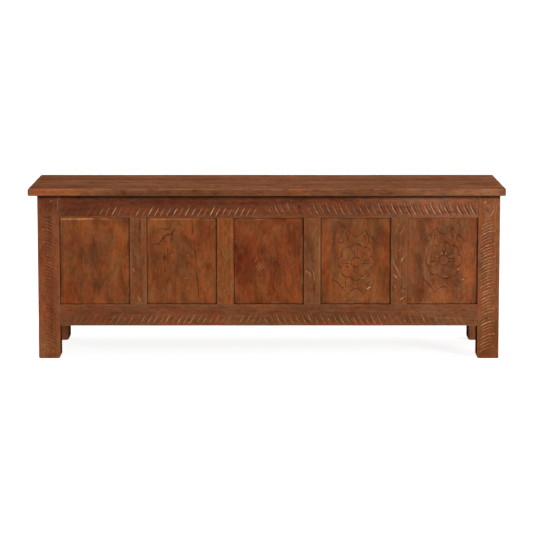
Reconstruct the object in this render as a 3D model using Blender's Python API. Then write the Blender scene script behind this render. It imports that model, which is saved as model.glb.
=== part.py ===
# Joined oak coffer: a pegged frame of posts, rails and muntins round loose panels, five of them in
# front, with a floor of cross boards and a plank lid on two iron strap hinges.
# Metres, +Z up. The front faces -Y. The origin is on the floor, under the middle of the lid.

import math

import bmesh
import bpy
from mathutils import Vector

# Lid
LID_THICKNESS = 0.025
LID_BACK_BOARD = 0.250  # the front board takes the rest of the depth
LID_FRONT_OVERHANG = 0.030
LID_BACK_OVERHANG = 0.019
LID_SIDE_OVERHANG = 0.024
LID_SIDE_SHIFT = 0.0065  # the lid lies this far left of the middle of the chest
LID_EDGE = 0.004
LID_JOINT_GAP = 0.0004
BATTEN_WIDTH = 0.045
BATTEN_HEIGHT = 0.020
BATTEN_END_ROOM = 0.012
BATTEN_INSET = 0.110  # from the inner end of the chest to the outer battens

# Chest
BODY_WIDTH = 1.612
BODY_DEPTH = 0.471
BODY_HEIGHT = 0.575
POST_WIDTH = 0.076
POST_DEPTH = 0.076
LEG_HEIGHT = 0.116  # clear height under the bottom rails
BOTTOM_RAIL_HEIGHT = 0.075
TOP_RAIL_HEIGHT = 0.079
RAIL_THICKNESS = 0.030
RAIL_SETBACK = 0.001  # the rails lie this far behind the faces of the posts
MUNTIN_WIDTH = 0.058
FRAME_EDGE = 0.0012
FOOT_WEAR = {
    "front_left_post": 0.012,
    "front_right_post": 0.008,
    "rear_left_post": 0.012,
    "rear_right_post": 0.010,
}

# Panels
FRONT_PANEL_COUNT = 5
SIDE_PANEL_COUNT = 2
BACK_PANEL_COUNT = 4
PANEL_SETBACK = 0.008  # from the post's face to the panel's face
PANEL_THICKNESS = 0.014
PANEL_TONGUE = 0.008
PANEL_TONGUE_BAND = 0.016  # width of the flat edge behind each panel
PANEL_SLOPE = 0.022  # width of the slope from that edge up to the thick middle
PANEL_PLAY = 0.001  # room at the bottom of a groove
GROOVE_DEPTH = 0.010

# Joints
GAP = 0.0003
TENON_THICKNESS = 0.009
TENON_SHOULDER = 0.012
TENON_GROOVE_WEB = 0.003  # wood left between a panel's groove and a mortise
MORTISE_WEB = 0.0035  # wood left between two mortises that meet in a post
MORTISE_PLAY = 0.001
MUNTIN_TENON = 0.028
MUNTIN_SHOULDER = 0.002
PEG_RADIUS = 0.0045
PEG_LENGTH = 0.040
PEG_PROUD = 0.0005
PEG_RELISH = 0.019  # from a peg's middle to the end of its tenon

# Floor
FLOOR_BOARD_COUNT = 6
FLOOR_THICKNESS = 0.014
FLOOR_RISE = 0.028  # from the bottom of the rails to the underside of the boards
FLOOR_GROOVE_DEPTH = 0.008
FLOOR_BOARD_GAP = 0.0006

# Hinges
HINGE_INSET = 0.340  # from each end of the chest
STRAP_LENGTH = 0.270
STRAP_WIDTH = 0.030
STRAP_TIP_WIDTH = 0.016
STRAP_FINIAL = 0.013
STRAP_THICKNESS = 0.0025
STRAP_SHOULDER = 0.010
KNUCKLE_WIDTH = 0.012
PIN_RADIUS = 0.003
PIN_PROUD = 0.0015
HINGE_PLAY = 0.00015
LEAF_WIDTH = 0.060
LEAF_RAIL_MARGIN = 0.022  # rail left bare below the leaf
LEAF_CORNER = 0.008
KNUCKLE_ROOM = 0.0006

ROUND_SIDES = 24
PEG_SIDES = 12
CORNER_STEPS = 4
FOOT_WEAR_STEPS = 3
CUT_OVER = 0.002  # a cutter runs this far out of the wood it opens
UNION_OVER = 0.004  # a tenon's block runs this far into its own piece

# Colour, roughness and metallic value of each finish
FINISHES = {
    "carved oak": ((0.190, 0.060, 0.024), 0.42, 0.0),
    "panel oak": ((0.193, 0.057, 0.019), 0.42, 0.0),
    "lid oak": ((0.190, 0.071, 0.034), 0.40, 0.0),
    "plain oak": ((0.165, 0.066, 0.032), 0.60, 0.0),
    "peg oak": ((0.110, 0.040, 0.018), 0.50, 0.0),
    "iron": ((0.050, 0.045, 0.042), 0.55, 0.9),
}

# Sizes and places that follow
LID_LENGTH = BODY_WIDTH + 2 * LID_SIDE_OVERHANG
LID_DEPTH = BODY_DEPTH + LID_FRONT_OVERHANG + LID_BACK_OVERHANG
BODY_MIDDLE = LID_SIDE_SHIFT
LEFT_X = BODY_MIDDLE - BODY_WIDTH / 2
RIGHT_X = BODY_MIDDLE + BODY_WIDTH / 2
FRONT_Y = -LID_DEPTH / 2 + LID_FRONT_OVERHANG
BACK_Y = FRONT_Y + BODY_DEPTH
OPENING_LOW = LEG_HEIGHT + BOTTOM_RAIL_HEIGHT
OPENING_HIGH = BODY_HEIGHT - TOP_RAIL_HEIGHT
RAIL_INNER = RAIL_SETBACK + RAIL_THICKNESS
TENON_FRONT = RAIL_SETBACK + (RAIL_THICKNESS - TENON_THICKNESS) / 2
TENON_BACK = TENON_FRONT + TENON_THICKNESS
TENON_STOP = TENON_BACK + MORTISE_WEB  # how far a tenon's end stays from the far face of its post
LID_LOW = BODY_HEIGHT + GAP
LID_TOP = LID_LOW + LID_THICKNESS
BORE_RADIUS = PIN_RADIUS + HINGE_PLAY
KNUCKLE_RADIUS = BORE_RADIUS + STRAP_THICKNESS
BACK_RAIL_FACE = BACK_Y - RAIL_SETBACK
PIVOT_Y = BACK_RAIL_FACE + GAP + KNUCKLE_RADIUS
PIVOT_Z = LID_LOW - BORE_RADIUS
HINGE_X = {"left": LEFT_X + HINGE_INSET, "right": RIGHT_X - HINGE_INSET}


class Wall:
    """One side of the chest. u runs along it, w inwards from the outer face of the posts."""

    def __init__(self, name, start, end, post_size, panels, place, frame_finish, panel_finish):
        self.name = name
        self.start = start
        self.end = end
        self.tenon = post_size - TENON_STOP
        self.panels = panels
        self.place = place
        self.frame_finish = frame_finish
        self.panel_finish = panel_finish

    def box(self, u, w, z):
        """Lowest and highest world corners of a block given by its ranges along u, w and z."""
        ends = [self.place(u[0], w[0], z[0]), self.place(u[1], w[1], z[1])]
        low = Vector(min(a, b) for a, b in zip(*ends))
        high = Vector(max(a, b) for a, b in zip(*ends))
        return low, high

    def opening_width(self):
        bars = (self.panels - 1) * MUNTIN_WIDTH
        return (self.end - self.start - bars) / self.panels


WALLS = [
    Wall("front", LEFT_X + POST_WIDTH, RIGHT_X - POST_WIDTH, POST_WIDTH, FRONT_PANEL_COUNT,
         lambda u, w, z: Vector((u, FRONT_Y + w, z)), "carved oak", "panel oak"),
    Wall("back", LEFT_X + POST_WIDTH, RIGHT_X - POST_WIDTH, POST_WIDTH, BACK_PANEL_COUNT,
         lambda u, w, z: Vector((u, BACK_Y - w, z)), "plain oak", "plain oak"),
    Wall("left", FRONT_Y + POST_DEPTH, BACK_Y - POST_DEPTH, POST_DEPTH, SIDE_PANEL_COUNT,
         lambda u, w, z: Vector((LEFT_X + w, u, z)), "carved oak", "panel oak"),
    Wall("right", FRONT_Y + POST_DEPTH, BACK_Y - POST_DEPTH, POST_DEPTH, SIDE_PANEL_COUNT,
         lambda u, w, z: Vector((RIGHT_X - w, u, z)), "carved oak", "panel oak"),
]

# Upright range of the tenons on the bottom and top rails
TENON_HEIGHTS = {
    "bottom": (LEG_HEIGHT + TENON_SHOULDER, OPENING_LOW - GROOVE_DEPTH - TENON_GROOVE_WEB),
    "top": (OPENING_HIGH + GROOVE_DEPTH + TENON_GROOVE_WEB, BODY_HEIGHT - TENON_SHOULDER),
}
RAIL_HEIGHTS = {
    "bottom": (LEG_HEIGHT, OPENING_LOW),
    "top": (OPENING_HIGH, BODY_HEIGHT),
}


def clear_scene():
    for obj in list(bpy.data.objects):
        bpy.data.objects.remove(obj, do_unlink=True)


def add_empty(name, location):
    empty = bpy.data.objects.new(name, None)
    empty.location = location
    bpy.context.collection.objects.link(empty)
    return empty


def link_object(name, mesh, location, parent=None):
    obj = bpy.data.objects.new(name, mesh)
    bpy.context.collection.objects.link(obj)
    if parent is None:
        obj.location = location
    else:
        obj.parent = parent
        obj.location = Vector(location) - parent.location
    return obj


def mesh_from(name, bm):
    bmesh.ops.recalc_face_normals(bm, faces=bm.faces)
    mesh = bpy.data.meshes.new(name)
    bm.to_mesh(mesh)
    bm.free()
    return mesh


def box_bmesh(low, high):
    """A block about its own middle, with that middle."""
    bm = bmesh.new()
    bmesh.ops.create_cube(bm, size=1.0)
    bmesh.ops.scale(bm, vec=high - low, verts=bm.verts)
    return bm, (low + high) / 2


def round_edges(bm, edges, width, steps=1):
    bmesh.ops.bevel(bm, geom=edges, offset=width, segments=steps, profile=0.5, affect="EDGES")


def dress(obj, finish):
    colour, roughness, metallic = FINISHES[finish]
    material = bpy.data.materials.new(obj.name + "_finish")
    material.use_nodes = True
    shader = material.node_tree.nodes["Principled BSDF"]
    shader.inputs["Base Color"].default_value = (*colour, 1.0)
    shader.inputs["Roughness"].default_value = roughness
    shader.inputs["Metallic"].default_value = metallic
    obj.data.materials.append(material)


def add_block(name, low, high, finish, parent, edge=FRAME_EDGE):
    """A block of wood with its edges taken off."""
    bm, middle = box_bmesh(low, high)
    round_edges(bm, list(bm.edges), edge)
    obj = link_object(name, mesh_from(name, bm), middle, parent)
    dress(obj, finish)
    return obj


def use_tool(piece, tool, operation):
    tool.hide_render = True
    tool.display_type = "WIRE"
    modifier = piece.modifiers.new(tool.name, "BOOLEAN")
    modifier.object = tool
    modifier.operation = operation
    modifier.solver = "EXACT"


def box_tool(piece, label, low, high, operation):
    name = piece.name + "_" + label
    bm, middle = box_bmesh(low, high)
    use_tool(piece, link_object(name, mesh_from(name, bm), middle), operation)


def cut_box(piece, label, low, high):
    box_tool(piece, label, low, high, "DIFFERENCE")


def join_box(piece, label, low, high):
    box_tool(piece, label, low, high, "UNION")


def prism_bmesh(outline, low, high, place):
    """A closed outline of (a, b) points carried from low to high; place maps (a, b, t) to XYZ."""
    bm = bmesh.new()
    ends = [[bm.verts.new(place(a, b, t)) for a, b in outline] for t in (low, high)]
    bm.faces.new(ends[0])
    bm.faces.new(reversed(ends[1]))
    count = len(outline)
    for i in range(count):
        j = (i + 1) % count
        bm.faces.new((ends[0][i], ends[1][i], ends[1][j], ends[0][j]))
    return bm


def circle(radius, sides):
    turns = [2 * math.pi * (i + 0.5) / sides for i in range(sides)]
    return [(radius * math.cos(a), radius * math.sin(a)) for a in turns]


def arc(middle, radius, start, end, steps):
    """Points from the start angle to the end angle, in degrees."""
    points = []
    for i in range(steps + 1):
        a = math.radians(start + (end - start) * i / steps)
        points.append((middle[0] + radius * math.cos(a), middle[1] + radius * math.sin(a)))
    return points


def rod_along_x(name, location, half_length, radius, parent=None):
    bm = prism_bmesh(circle(radius, ROUND_SIDES), -half_length, half_length,
                     lambda a, b, t: Vector((t, a, b)))
    rod = link_object(name, mesh_from(name, bm), location, parent)
    rod.data.shade_smooth()
    rod.data.set_sharp_from_angle(angle=math.radians(35))
    return rod


def rod_along_y(name, x, z, front, back, radius, parent=None):
    middle = Vector((x, (front + back) / 2, z))
    half = (back - front) / 2
    bm = prism_bmesh(circle(radius, PEG_SIDES), -half, half, lambda a, b, t: Vector((a, t, b)))
    return link_object(name, mesh_from(name, bm), middle, parent)


def beyond_end(wall, side, near, far):
    """Range along u from near to far, measured out of the opening into the post on that side."""
    if side == "start":
        return wall.start - far, wall.start - near
    return wall.end + near, wall.end + far


def widened(pair, margin):
    return pair[0] - margin, pair[1] + margin


def groove_depths():
    return widened((PANEL_SETBACK, PANEL_SETBACK + PANEL_TONGUE), GAP)


def peg_places(wall):
    """Middle of each peg that pins a front rail: end, rail, number, x and z."""
    places = []
    for side in ("start", "end"):
        u = beyond_end(wall, side, wall.tenon - PEG_RELISH, wall.tenon - PEG_RELISH)[0]
        for level, (low, high) in TENON_HEIGHTS.items():
            for number, share in ((1, 0.25), (2, 0.75)):
                places.append((side, level, number, u, low + share * (high - low)))
    return places


def cut_peg_hole(piece, label, x, z):
    name = piece.name + "_" + label
    front = FRONT_Y - CUT_OVER
    back = FRONT_Y + PEG_LENGTH + MORTISE_PLAY
    use_tool(piece, rod_along_y(name, x, z, front, back, PEG_RADIUS + GAP), "DIFFERENCE")


def add_post(name, walls, parent):
    """A corner post, with its mortises and panel grooves; walls holds (wall, side) pairs."""
    across, along = walls
    x = sorted((beyond_end(*across, 0, POST_WIDTH)))
    y = sorted((beyond_end(*along, 0, POST_DEPTH)))
    low = Vector((x[0], y[0], 0))
    high = Vector((x[1], y[1], BODY_HEIGHT))
    bm, middle = box_bmesh(low, high)
    inner_x = (across[0].start if across[1] == "start" else across[0].end) - middle.x
    foot = [e for e in bm.edges
            if all(abs(v.co.x - inner_x) < GAP and v.co.z < 0 for v in e.verts)]
    round_edges(bm, foot, FOOT_WEAR[name], FOOT_WEAR_STEPS)
    outer = [e for e in bm.edges if e.calc_face_angle() > math.radians(80)]
    round_edges(bm, outer, FRAME_EDGE)
    post = link_object(name, mesh_from(name, bm), middle, parent)
    dress(post, "carved oak")
    for wall, side in walls:
        reach = beyond_end(wall, side, -CUT_OVER, wall.tenon + MORTISE_PLAY)
        for level, heights in TENON_HEIGHTS.items():
            depth = widened((TENON_FRONT, TENON_BACK), GAP)
            box = wall.box(reach, depth, widened(heights, GAP))
            cut_box(post, wall.name + "_" + level + "_mortise", *box)
        reach = beyond_end(wall, side, -CUT_OVER, GROOVE_DEPTH)
        heights = widened((OPENING_LOW, OPENING_HIGH), GROOVE_DEPTH)
        cut_box(post, wall.name + "_groove", *wall.box(reach, groove_depths(), heights))
    if across[0].name == "front":
        for side, level, number, peg_x, peg_z in peg_places(across[0]):
            if side == across[1]:
                cut_peg_hole(post, "peg_hole_" + level + str(number), peg_x, peg_z)
    return post


def add_rail(wall, level, parent):
    span = (wall.start + GAP, wall.end - GAP)
    depth = (RAIL_SETBACK, RAIL_INNER)
    name = wall.name + "_" + level + "_rail"
    rail = add_block(name, *wall.box(span, depth, RAIL_HEIGHTS[level]), wall.frame_finish, parent)
    for side in ("start", "end"):
        reach = beyond_end(wall, side, -UNION_OVER, wall.tenon)
        box = wall.box(reach, (TENON_FRONT, TENON_BACK), TENON_HEIGHTS[level])
        join_box(rail, side + "_tenon", *box)
    edge = OPENING_HIGH if level == "top" else OPENING_LOW
    into_rail = 1 if level == "top" else -1
    groove = sorted((edge + into_rail * GROOVE_DEPTH, edge - into_rail * CUT_OVER))
    long_span = widened(span, CUT_OVER)
    cut_box(rail, "panel_groove", *wall.box(long_span, groove_depths(), groove))
    mortise = sorted((edge + into_rail * (MUNTIN_TENON + MORTISE_PLAY), edge - into_rail * CUT_OVER))
    for number, u in enumerate(muntin_places(wall), 1):
        width = widened(muntin_tenon_span(u), GAP)
        box = wall.box(width, widened((TENON_FRONT, TENON_BACK), GAP), mortise)
        cut_box(rail, "mortise_" + str(number), *box)
    if level == "bottom" and wall.name in ("front", "back"):
        floor = widened(floor_heights(), GAP)
        box = wall.box(long_span, (RAIL_INNER - FLOOR_GROOVE_DEPTH, RAIL_INNER + CUT_OVER), floor)
        cut_box(rail, "floor_groove", *box)
    if wall.name == "front":
        for side, peg_level, number, peg_x, peg_z in peg_places(wall):
            if peg_level == level:
                cut_peg_hole(rail, "peg_hole_" + side + str(number), peg_x, peg_z)
    return rail


def muntin_places(wall):
    """Start of each muntin along u."""
    step = wall.opening_width() + MUNTIN_WIDTH
    first = wall.start + wall.opening_width()
    return [first + i * step for i in range(wall.panels - 1)]


def muntin_tenon_span(u):
    return widened((u, u + MUNTIN_WIDTH), -GROOVE_DEPTH - MUNTIN_SHOULDER)


def add_muntin(wall, number, u, parent):
    heights = widened((OPENING_LOW, OPENING_HIGH), -GAP)
    span = (u, u + MUNTIN_WIDTH)
    name = wall.name + "_muntin_" + str(number)
    box = wall.box(span, (RAIL_SETBACK, RAIL_INNER), heights)
    muntin = add_block(name, *box, wall.frame_finish, parent)
    ends = {
        "lower": (OPENING_LOW - MUNTIN_TENON, OPENING_LOW + UNION_OVER),
        "upper": (OPENING_HIGH - UNION_OVER, OPENING_HIGH + MUNTIN_TENON),
    }
    for label, reach in ends.items():
        box = wall.box(muntin_tenon_span(u), (TENON_FRONT, TENON_BACK), reach)
        join_box(muntin, label + "_tenon", *box)
    grooves = {
        "first": (u - CUT_OVER, u + GROOVE_DEPTH),
        "second": (u + MUNTIN_WIDTH - GROOVE_DEPTH, u + MUNTIN_WIDTH + CUT_OVER),
    }
    for label, reach in grooves.items():
        box = wall.box(reach, groove_depths(), widened(heights, CUT_OVER))
        cut_box(muntin, label + "_groove", *box)
    return muntin


def add_panel(wall, number, u, parent):
    """A riven panel, flat in front, with its back sloped down to a tongue all round."""
    tuck = GROOVE_DEPTH - PANEL_PLAY
    span = widened((u, u + wall.opening_width()), tuck)
    heights = widened((OPENING_LOW, OPENING_HIGH), tuck)
    middle = wall.place(sum(span) / 2, PANEL_SETBACK, sum(heights) / 2)
    rings = [
        (0, 0),
        (0, PANEL_TONGUE),
        (PANEL_TONGUE_BAND, PANEL_TONGUE),
        (PANEL_TONGUE_BAND + PANEL_SLOPE, PANEL_THICKNESS),
    ]
    bm = bmesh.new()
    loops = []
    for inset, depth in rings:
        a, b = widened(span, -inset)
        c, d = widened(heights, -inset)
        corners = [(a, c), (b, c), (b, d), (a, d)]
        points = [wall.place(p, PANEL_SETBACK + depth, q) - middle for p, q in corners]
        loops.append([bm.verts.new(point) for point in points])
    for near, far in zip(loops, loops[1:]):
        for i in range(4):
            j = (i + 1) % 4
            bm.faces.new((near[i], near[j], far[j], far[i]))
    bm.faces.new(loops[0])
    bm.faces.new(loops[-1])
    name = wall.name + "_panel_" + str(number)
    panel = link_object(name, mesh_from(name, bm), middle, parent)
    dress(panel, wall.panel_finish)
    return panel


def add_wall(wall, parent):
    for level in RAIL_HEIGHTS:
        add_rail(wall, level, parent)
    places = muntin_places(wall)
    for number, u in enumerate(places, 1):
        add_muntin(wall, number, u, parent)
    starts = [wall.start] + [u + MUNTIN_WIDTH for u in places]
    for number, u in enumerate(starts, 1):
        add_panel(wall, number, u, parent)


def add_pegs(wall, parent):
    names = {"start": "left", "end": "right"}
    for side, level, number, x, z in peg_places(wall):
        name = "front_" + names[side] + "_" + level + "_peg_" + str(number)
        peg = rod_along_y(name, x, z, FRONT_Y - PEG_PROUD, FRONT_Y + PEG_LENGTH, PEG_RADIUS, parent)
        dress(peg, "peg oak")


def floor_heights():
    low = LEG_HEIGHT + FLOOR_RISE
    return low, low + FLOOR_THICKNESS


def add_floor(parent):
    """Cross boards that slide into the front and back rails; the end ones pass round the posts."""
    x0 = LEFT_X + RAIL_INNER + GAP
    x1 = RIGHT_X - RAIL_INNER - GAP
    y0 = FRONT_Y + RAIL_INNER - FLOOR_GROOVE_DEPTH + PANEL_PLAY
    y1 = BACK_Y - RAIL_INNER + FLOOR_GROOVE_DEPTH - PANEL_PLAY
    z0, z1 = floor_heights()
    width = (x1 - x0 + FLOOR_BOARD_GAP) / FLOOR_BOARD_COUNT
    for i in range(FLOOR_BOARD_COUNT):
        low = Vector((x0 + i * width, y0, z0))
        high = Vector((x0 + (i + 1) * width - FLOOR_BOARD_GAP, y1, z1))
        board = add_block("floor_board_" + str(i + 1), low, high, "plain oak", parent)
        if i not in (0, FLOOR_BOARD_COUNT - 1):
            continue
        post_x = widened((LEFT_X, LEFT_X + POST_WIDTH), GAP)
        if i:
            post_x = widened((RIGHT_X - POST_WIDTH, RIGHT_X), GAP)
        for label, y in (("front", FRONT_Y), ("rear", BACK_Y - POST_DEPTH)):
            post_low = Vector((post_x[0], y - GAP, z0 - CUT_OVER))
            post_high = Vector((post_x[1], y + POST_DEPTH + GAP, z1 + CUT_OVER))
            cut_box(board, label + "_notch", post_low, post_high)


def add_lid_board(name, y0, y1, joint_y, parent):
    low = Vector((-LID_LENGTH / 2, y0, LID_LOW))
    high = Vector((LID_LENGTH / 2, y1, LID_TOP))
    bm, middle = box_bmesh(low, high)
    free = [e for e in bm.edges
            if not all(abs(v.co.y + middle.y - joint_y) < GAP for v in e.verts)]
    round_edges(bm, free, LID_EDGE, 2)
    board = link_object(name, mesh_from(name, bm), middle, parent)
    dress(board, "lid oak")
    return board


def add_batten(name, x, parent):
    low = Vector((x - BATTEN_WIDTH / 2, FRONT_Y + RAIL_INNER + BATTEN_END_ROOM,
                  LID_LOW - GAP - BATTEN_HEIGHT))
    high = Vector((x + BATTEN_WIDTH / 2, BACK_Y - RAIL_INNER - BATTEN_END_ROOM, LID_LOW - GAP))
    add_block(name, low, high, "plain oak", parent, edge=BATTEN_HEIGHT / 8)


def strap_outline(grow):
    """Plan of a strap from its knuckle forwards, as (x, y) from the pivot, larger by grow."""
    neck = KNUCKLE_WIDTH / 2 - GAP / 2 + grow
    half = STRAP_WIDTH / 2 + grow
    tip = STRAP_TIP_WIDTH / 2 + grow
    finial = STRAP_FINIAL + grow
    finial_y = -STRAP_LENGTH + STRAP_FINIAL
    neck_y = -KNUCKLE_RADIUS - KNUCKLE_ROOM - GAP
    start = math.degrees(math.acos(tip / finial))
    right = [(neck, 0), (neck, neck_y + grow), (half, neck_y - STRAP_SHOULDER)]
    right += arc((0, finial_y), finial, start, -90, ROUND_SIDES // 3)
    left = [(-x, y) for x, y in reversed(right[:-1])]
    return right + left


def add_strap(side, pivot):
    """A lid strap let in flush, rolled round the pin at its back end."""
    x = HINGE_X[side]
    place = Vector((x, PIVOT_Y, PIVOT_Z))
    name = side + "_hinge_strap"
    bm = prism_bmesh(strap_outline(0), BORE_RADIUS, KNUCKLE_RADIUS,
                     lambda a, b, t: Vector((a, b, t)))
    strap = link_object(name, mesh_from(name, bm), place, pivot)
    dress(strap, "iron")
    half = KNUCKLE_WIDTH / 2 - GAP / 2
    use_tool(strap, rod_along_x(name + "_roll", place, half, KNUCKLE_RADIUS), "UNION")
    use_tool(strap, rod_along_x(name + "_bore", place, KNUCKLE_WIDTH, BORE_RADIUS), "DIFFERENCE")


def leaf_outline():
    """Back view of a rail leaf, as (x, z) from the pivot, with round lower corners."""
    knuckles = 1.5 * KNUCKLE_WIDTH
    half = LEAF_WIDTH / 2
    shoulder = -KNUCKLE_RADIUS - KNUCKLE_ROOM
    low = OPENING_HIGH + LEAF_RAIL_MARGIN - PIVOT_Z
    right = [(knuckles, 0), (knuckles, shoulder), (half, shoulder)]
    right += arc((half - LEAF_CORNER, low + LEAF_CORNER), LEAF_CORNER, 0, -90, CORNER_STEPS)
    left = [(-x, z) for x, z in reversed(right)]
    return right + left


def add_leaf(side, parent):
    """A leaf on the back of the top rail, with an outer knuckle on each side of the strap's."""
    x = HINGE_X[side]
    place = Vector((x, PIVOT_Y, PIVOT_Z))
    name = side + "_hinge_leaf"
    bm = prism_bmesh(leaf_outline(), -KNUCKLE_RADIUS, -BORE_RADIUS,
                     lambda a, b, t: Vector((a, t, b)))
    leaf = link_object(name, mesh_from(name, bm), place, parent)
    dress(leaf, "iron")
    use_tool(leaf, rod_along_x(name + "_roll", place, 1.5 * KNUCKLE_WIDTH, KNUCKLE_RADIUS), "UNION")
    use_tool(leaf, rod_along_x(name + "_bore", place, 2 * KNUCKLE_WIDTH, BORE_RADIUS), "DIFFERENCE")
    half = KNUCKLE_WIDTH / 2 + GAP / 2
    reach = KNUCKLE_RADIUS + KNUCKLE_ROOM
    low = place + Vector((-half, -reach, -reach))
    high = place + Vector((half, reach, reach))
    cut_box(leaf, "slot", low, high)


def add_pin(side, parent):
    place = Vector((HINGE_X[side], PIVOT_Y, PIVOT_Z))
    half = 1.5 * KNUCKLE_WIDTH + PIN_PROUD
    pin = rod_along_x(side + "_hinge_pin", place, half, PIN_RADIUS, parent)
    dress(pin, "iron")


def cut_hinge_seat(board, side):
    """Room in a lid board for the strap and for the three knuckles."""
    x = HINGE_X[side]
    label = board.name + "_" + side + "_strap_seat"
    bm = prism_bmesh(strap_outline(GAP), -CUT_OVER, STRAP_THICKNESS + GAP,
                     lambda a, b, t: Vector((a, b, t)))
    seat = link_object(label, mesh_from(label, bm), Vector((x, PIVOT_Y, LID_LOW)))
    use_tool(board, seat, "DIFFERENCE")
    half = 1.5 * KNUCKLE_WIDTH + PIN_PROUD + KNUCKLE_ROOM
    reach = KNUCKLE_RADIUS + KNUCKLE_ROOM
    low = Vector((x - half, PIVOT_Y - reach, LID_LOW - CUT_OVER))
    high = Vector((x + half, PIVOT_Y + reach, PIVOT_Z + reach))
    cut_box(board, side + "_knuckle_seat", low, high)


def add_lid(pivot):
    joint_y = LID_DEPTH / 2 - LID_BACK_BOARD
    front_edge = joint_y - LID_JOINT_GAP / 2
    back_edge = joint_y + LID_JOINT_GAP / 2
    boards = [
        add_lid_board("lid_front_board", -LID_DEPTH / 2, front_edge, front_edge, pivot),
        add_lid_board("lid_back_board", back_edge, LID_DEPTH / 2, back_edge, pivot),
    ]
    for side in HINGE_X:
        for board in boards:
            cut_hinge_seat(board, side)
        add_strap(side, pivot)
    inner_ends = (LEFT_X + RAIL_INNER, RIGHT_X - RAIL_INNER)
    add_batten("lid_left_batten", inner_ends[0] + BATTEN_INSET, pivot)
    add_batten("lid_middle_batten", BODY_MIDDLE, pivot)
    add_batten("lid_right_batten", inner_ends[1] - BATTEN_INSET, pivot)


def build_coffer():
    clear_scene()
    carcase = add_empty("carcase", (0, 0, 0))
    pivot = add_empty("lid_pivot", (BODY_MIDDLE, PIVOT_Y, PIVOT_Z))
    front, back, left, right = WALLS
    add_post("front_left_post", [(front, "start"), (left, "start")], carcase)
    add_post("front_right_post", [(front, "end"), (right, "start")], carcase)
    add_post("rear_left_post", [(back, "start"), (left, "end")], carcase)
    add_post("rear_right_post", [(back, "end"), (right, "end")], carcase)
    for wall in WALLS:
        add_wall(wall, carcase)
    add_pegs(front, carcase)
    add_floor(carcase)
    for side in HINGE_X:
        add_leaf(side, carcase)
        add_pin(side, carcase)
    add_lid(pivot)


build_coffer()
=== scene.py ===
import itertools
import math

import bmesh
import bpy
import numpy as np
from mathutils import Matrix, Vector


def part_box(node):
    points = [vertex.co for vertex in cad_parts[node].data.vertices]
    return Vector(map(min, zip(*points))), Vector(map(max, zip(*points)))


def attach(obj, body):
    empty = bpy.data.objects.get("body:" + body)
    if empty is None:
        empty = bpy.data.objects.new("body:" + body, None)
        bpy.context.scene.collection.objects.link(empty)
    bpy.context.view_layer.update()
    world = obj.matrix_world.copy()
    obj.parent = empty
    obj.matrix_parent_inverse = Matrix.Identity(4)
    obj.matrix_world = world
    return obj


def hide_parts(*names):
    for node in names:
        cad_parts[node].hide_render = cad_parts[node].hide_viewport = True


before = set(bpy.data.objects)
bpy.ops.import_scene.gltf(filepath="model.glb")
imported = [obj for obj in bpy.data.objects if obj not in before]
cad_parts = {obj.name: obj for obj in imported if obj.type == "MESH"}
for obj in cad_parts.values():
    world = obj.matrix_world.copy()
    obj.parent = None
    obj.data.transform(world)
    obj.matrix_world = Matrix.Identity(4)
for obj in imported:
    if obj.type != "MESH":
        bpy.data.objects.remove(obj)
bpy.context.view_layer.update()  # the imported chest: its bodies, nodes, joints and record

print("1. camera, floor and light")

cameraSettings = {
    "place": (-0.0014, -8.7267, 1.4598),
    "lookDown": 7.605,  # degrees below level
    "lens": 165.86,     # mm, on the sensor below
    "sensor": 36.0,
    "farthest": 400.0,
}
floorSettings = {
    "reach": 160.0,               # half the length of a side
    "drop": 0.0002,               # below the feet
    "colour": (0.72, 0.715, 0.71),
    "rough": 0.9,
    "gloss": 0.1,
    "glow": 0.82,                 # white that the camera sees on top of the lit colour
}
worldSettings = {"colour": (1.0, 0.99, 0.98), "light": 0.36, "seen": 1.0}
lampSettings = {
    "right": {"place": (3.6, -3.9, 1.0), "aim": (0.1, -0.2, 0.3), "size": (1.6, 2.0), "power": 124.0},
    "front": {"place": (-0.6, -5.0, 2.2), "aim": (0.0, -0.2, 0.3), "size": (3.0, 2.0), "power": 52.0},
    "above": {"place": (0.3, -0.6, 3.4), "aim": (0.0, 0.0, 0.5), "size": (3.0, 1.4), "power": 66.0},
}


def addObject(name, data):
    thing = bpy.data.objects.new(name, data)
    bpy.context.collection.objects.link(thing)
    return thing


def addCamera(settings):
    data = bpy.data.cameras.new("camera")
    data.lens = settings["lens"]
    data.sensor_width = settings["sensor"]
    data.clip_end = settings["farthest"]
    camera = addObject("camera", data)
    camera.location = settings["place"]
    camera.rotation_euler = (math.radians(90.0 - settings["lookDown"]), 0.0, 0.0)
    bpy.context.scene.camera = camera


def addLamp(name, settings):
    data = bpy.data.lights.new(name, "AREA")
    data.shape = "RECTANGLE"
    data.size, data.size_y = settings["size"]
    data.energy = settings["power"]
    lamp = addObject(name, data)
    lamp.location = settings["place"]
    aim = Vector(settings["aim"]) - lamp.location
    lamp.rotation_euler = aim.to_track_quat("-Z", "Y").to_euler()


def fill(tree, node, inputs):
    # an input is given a plain value, or another node's output to be linked from
    for key, value in inputs.items():
        if isinstance(value, bpy.types.NodeSocket):
            tree.links.new(value, node.inputs[key])
        else:
            node.inputs[key].default_value = value


def put(tree, kind, inputs=None, **settings):
    node = tree.nodes.new(kind)
    for key, value in settings.items():
        setattr(node, key, value)
    fill(tree, node, inputs or {})
    return node


def newMaterial(name):
    material = bpy.data.materials.new(name)
    material.use_nodes = True
    tree = material.node_tree
    return material, tree, tree.nodes["Principled BSDF"]


def maths(tree, operation, a, b=0.0, clamp=False):
    return put(tree, "ShaderNodeMath", {0: a, 1: b}, operation=operation, use_clamp=clamp).outputs[0]


def times(tree, a, b, clamp=False):
    return maths(tree, "MULTIPLY", a, b, clamp)


def mixColours(tree, factor, a, b, blend="MIX"):
    node = put(tree, "ShaderNodeMix", {0: factor, 6: a, 7: b}, data_type="RGBA", blend_type=blend)
    return node.outputs[2]


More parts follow.
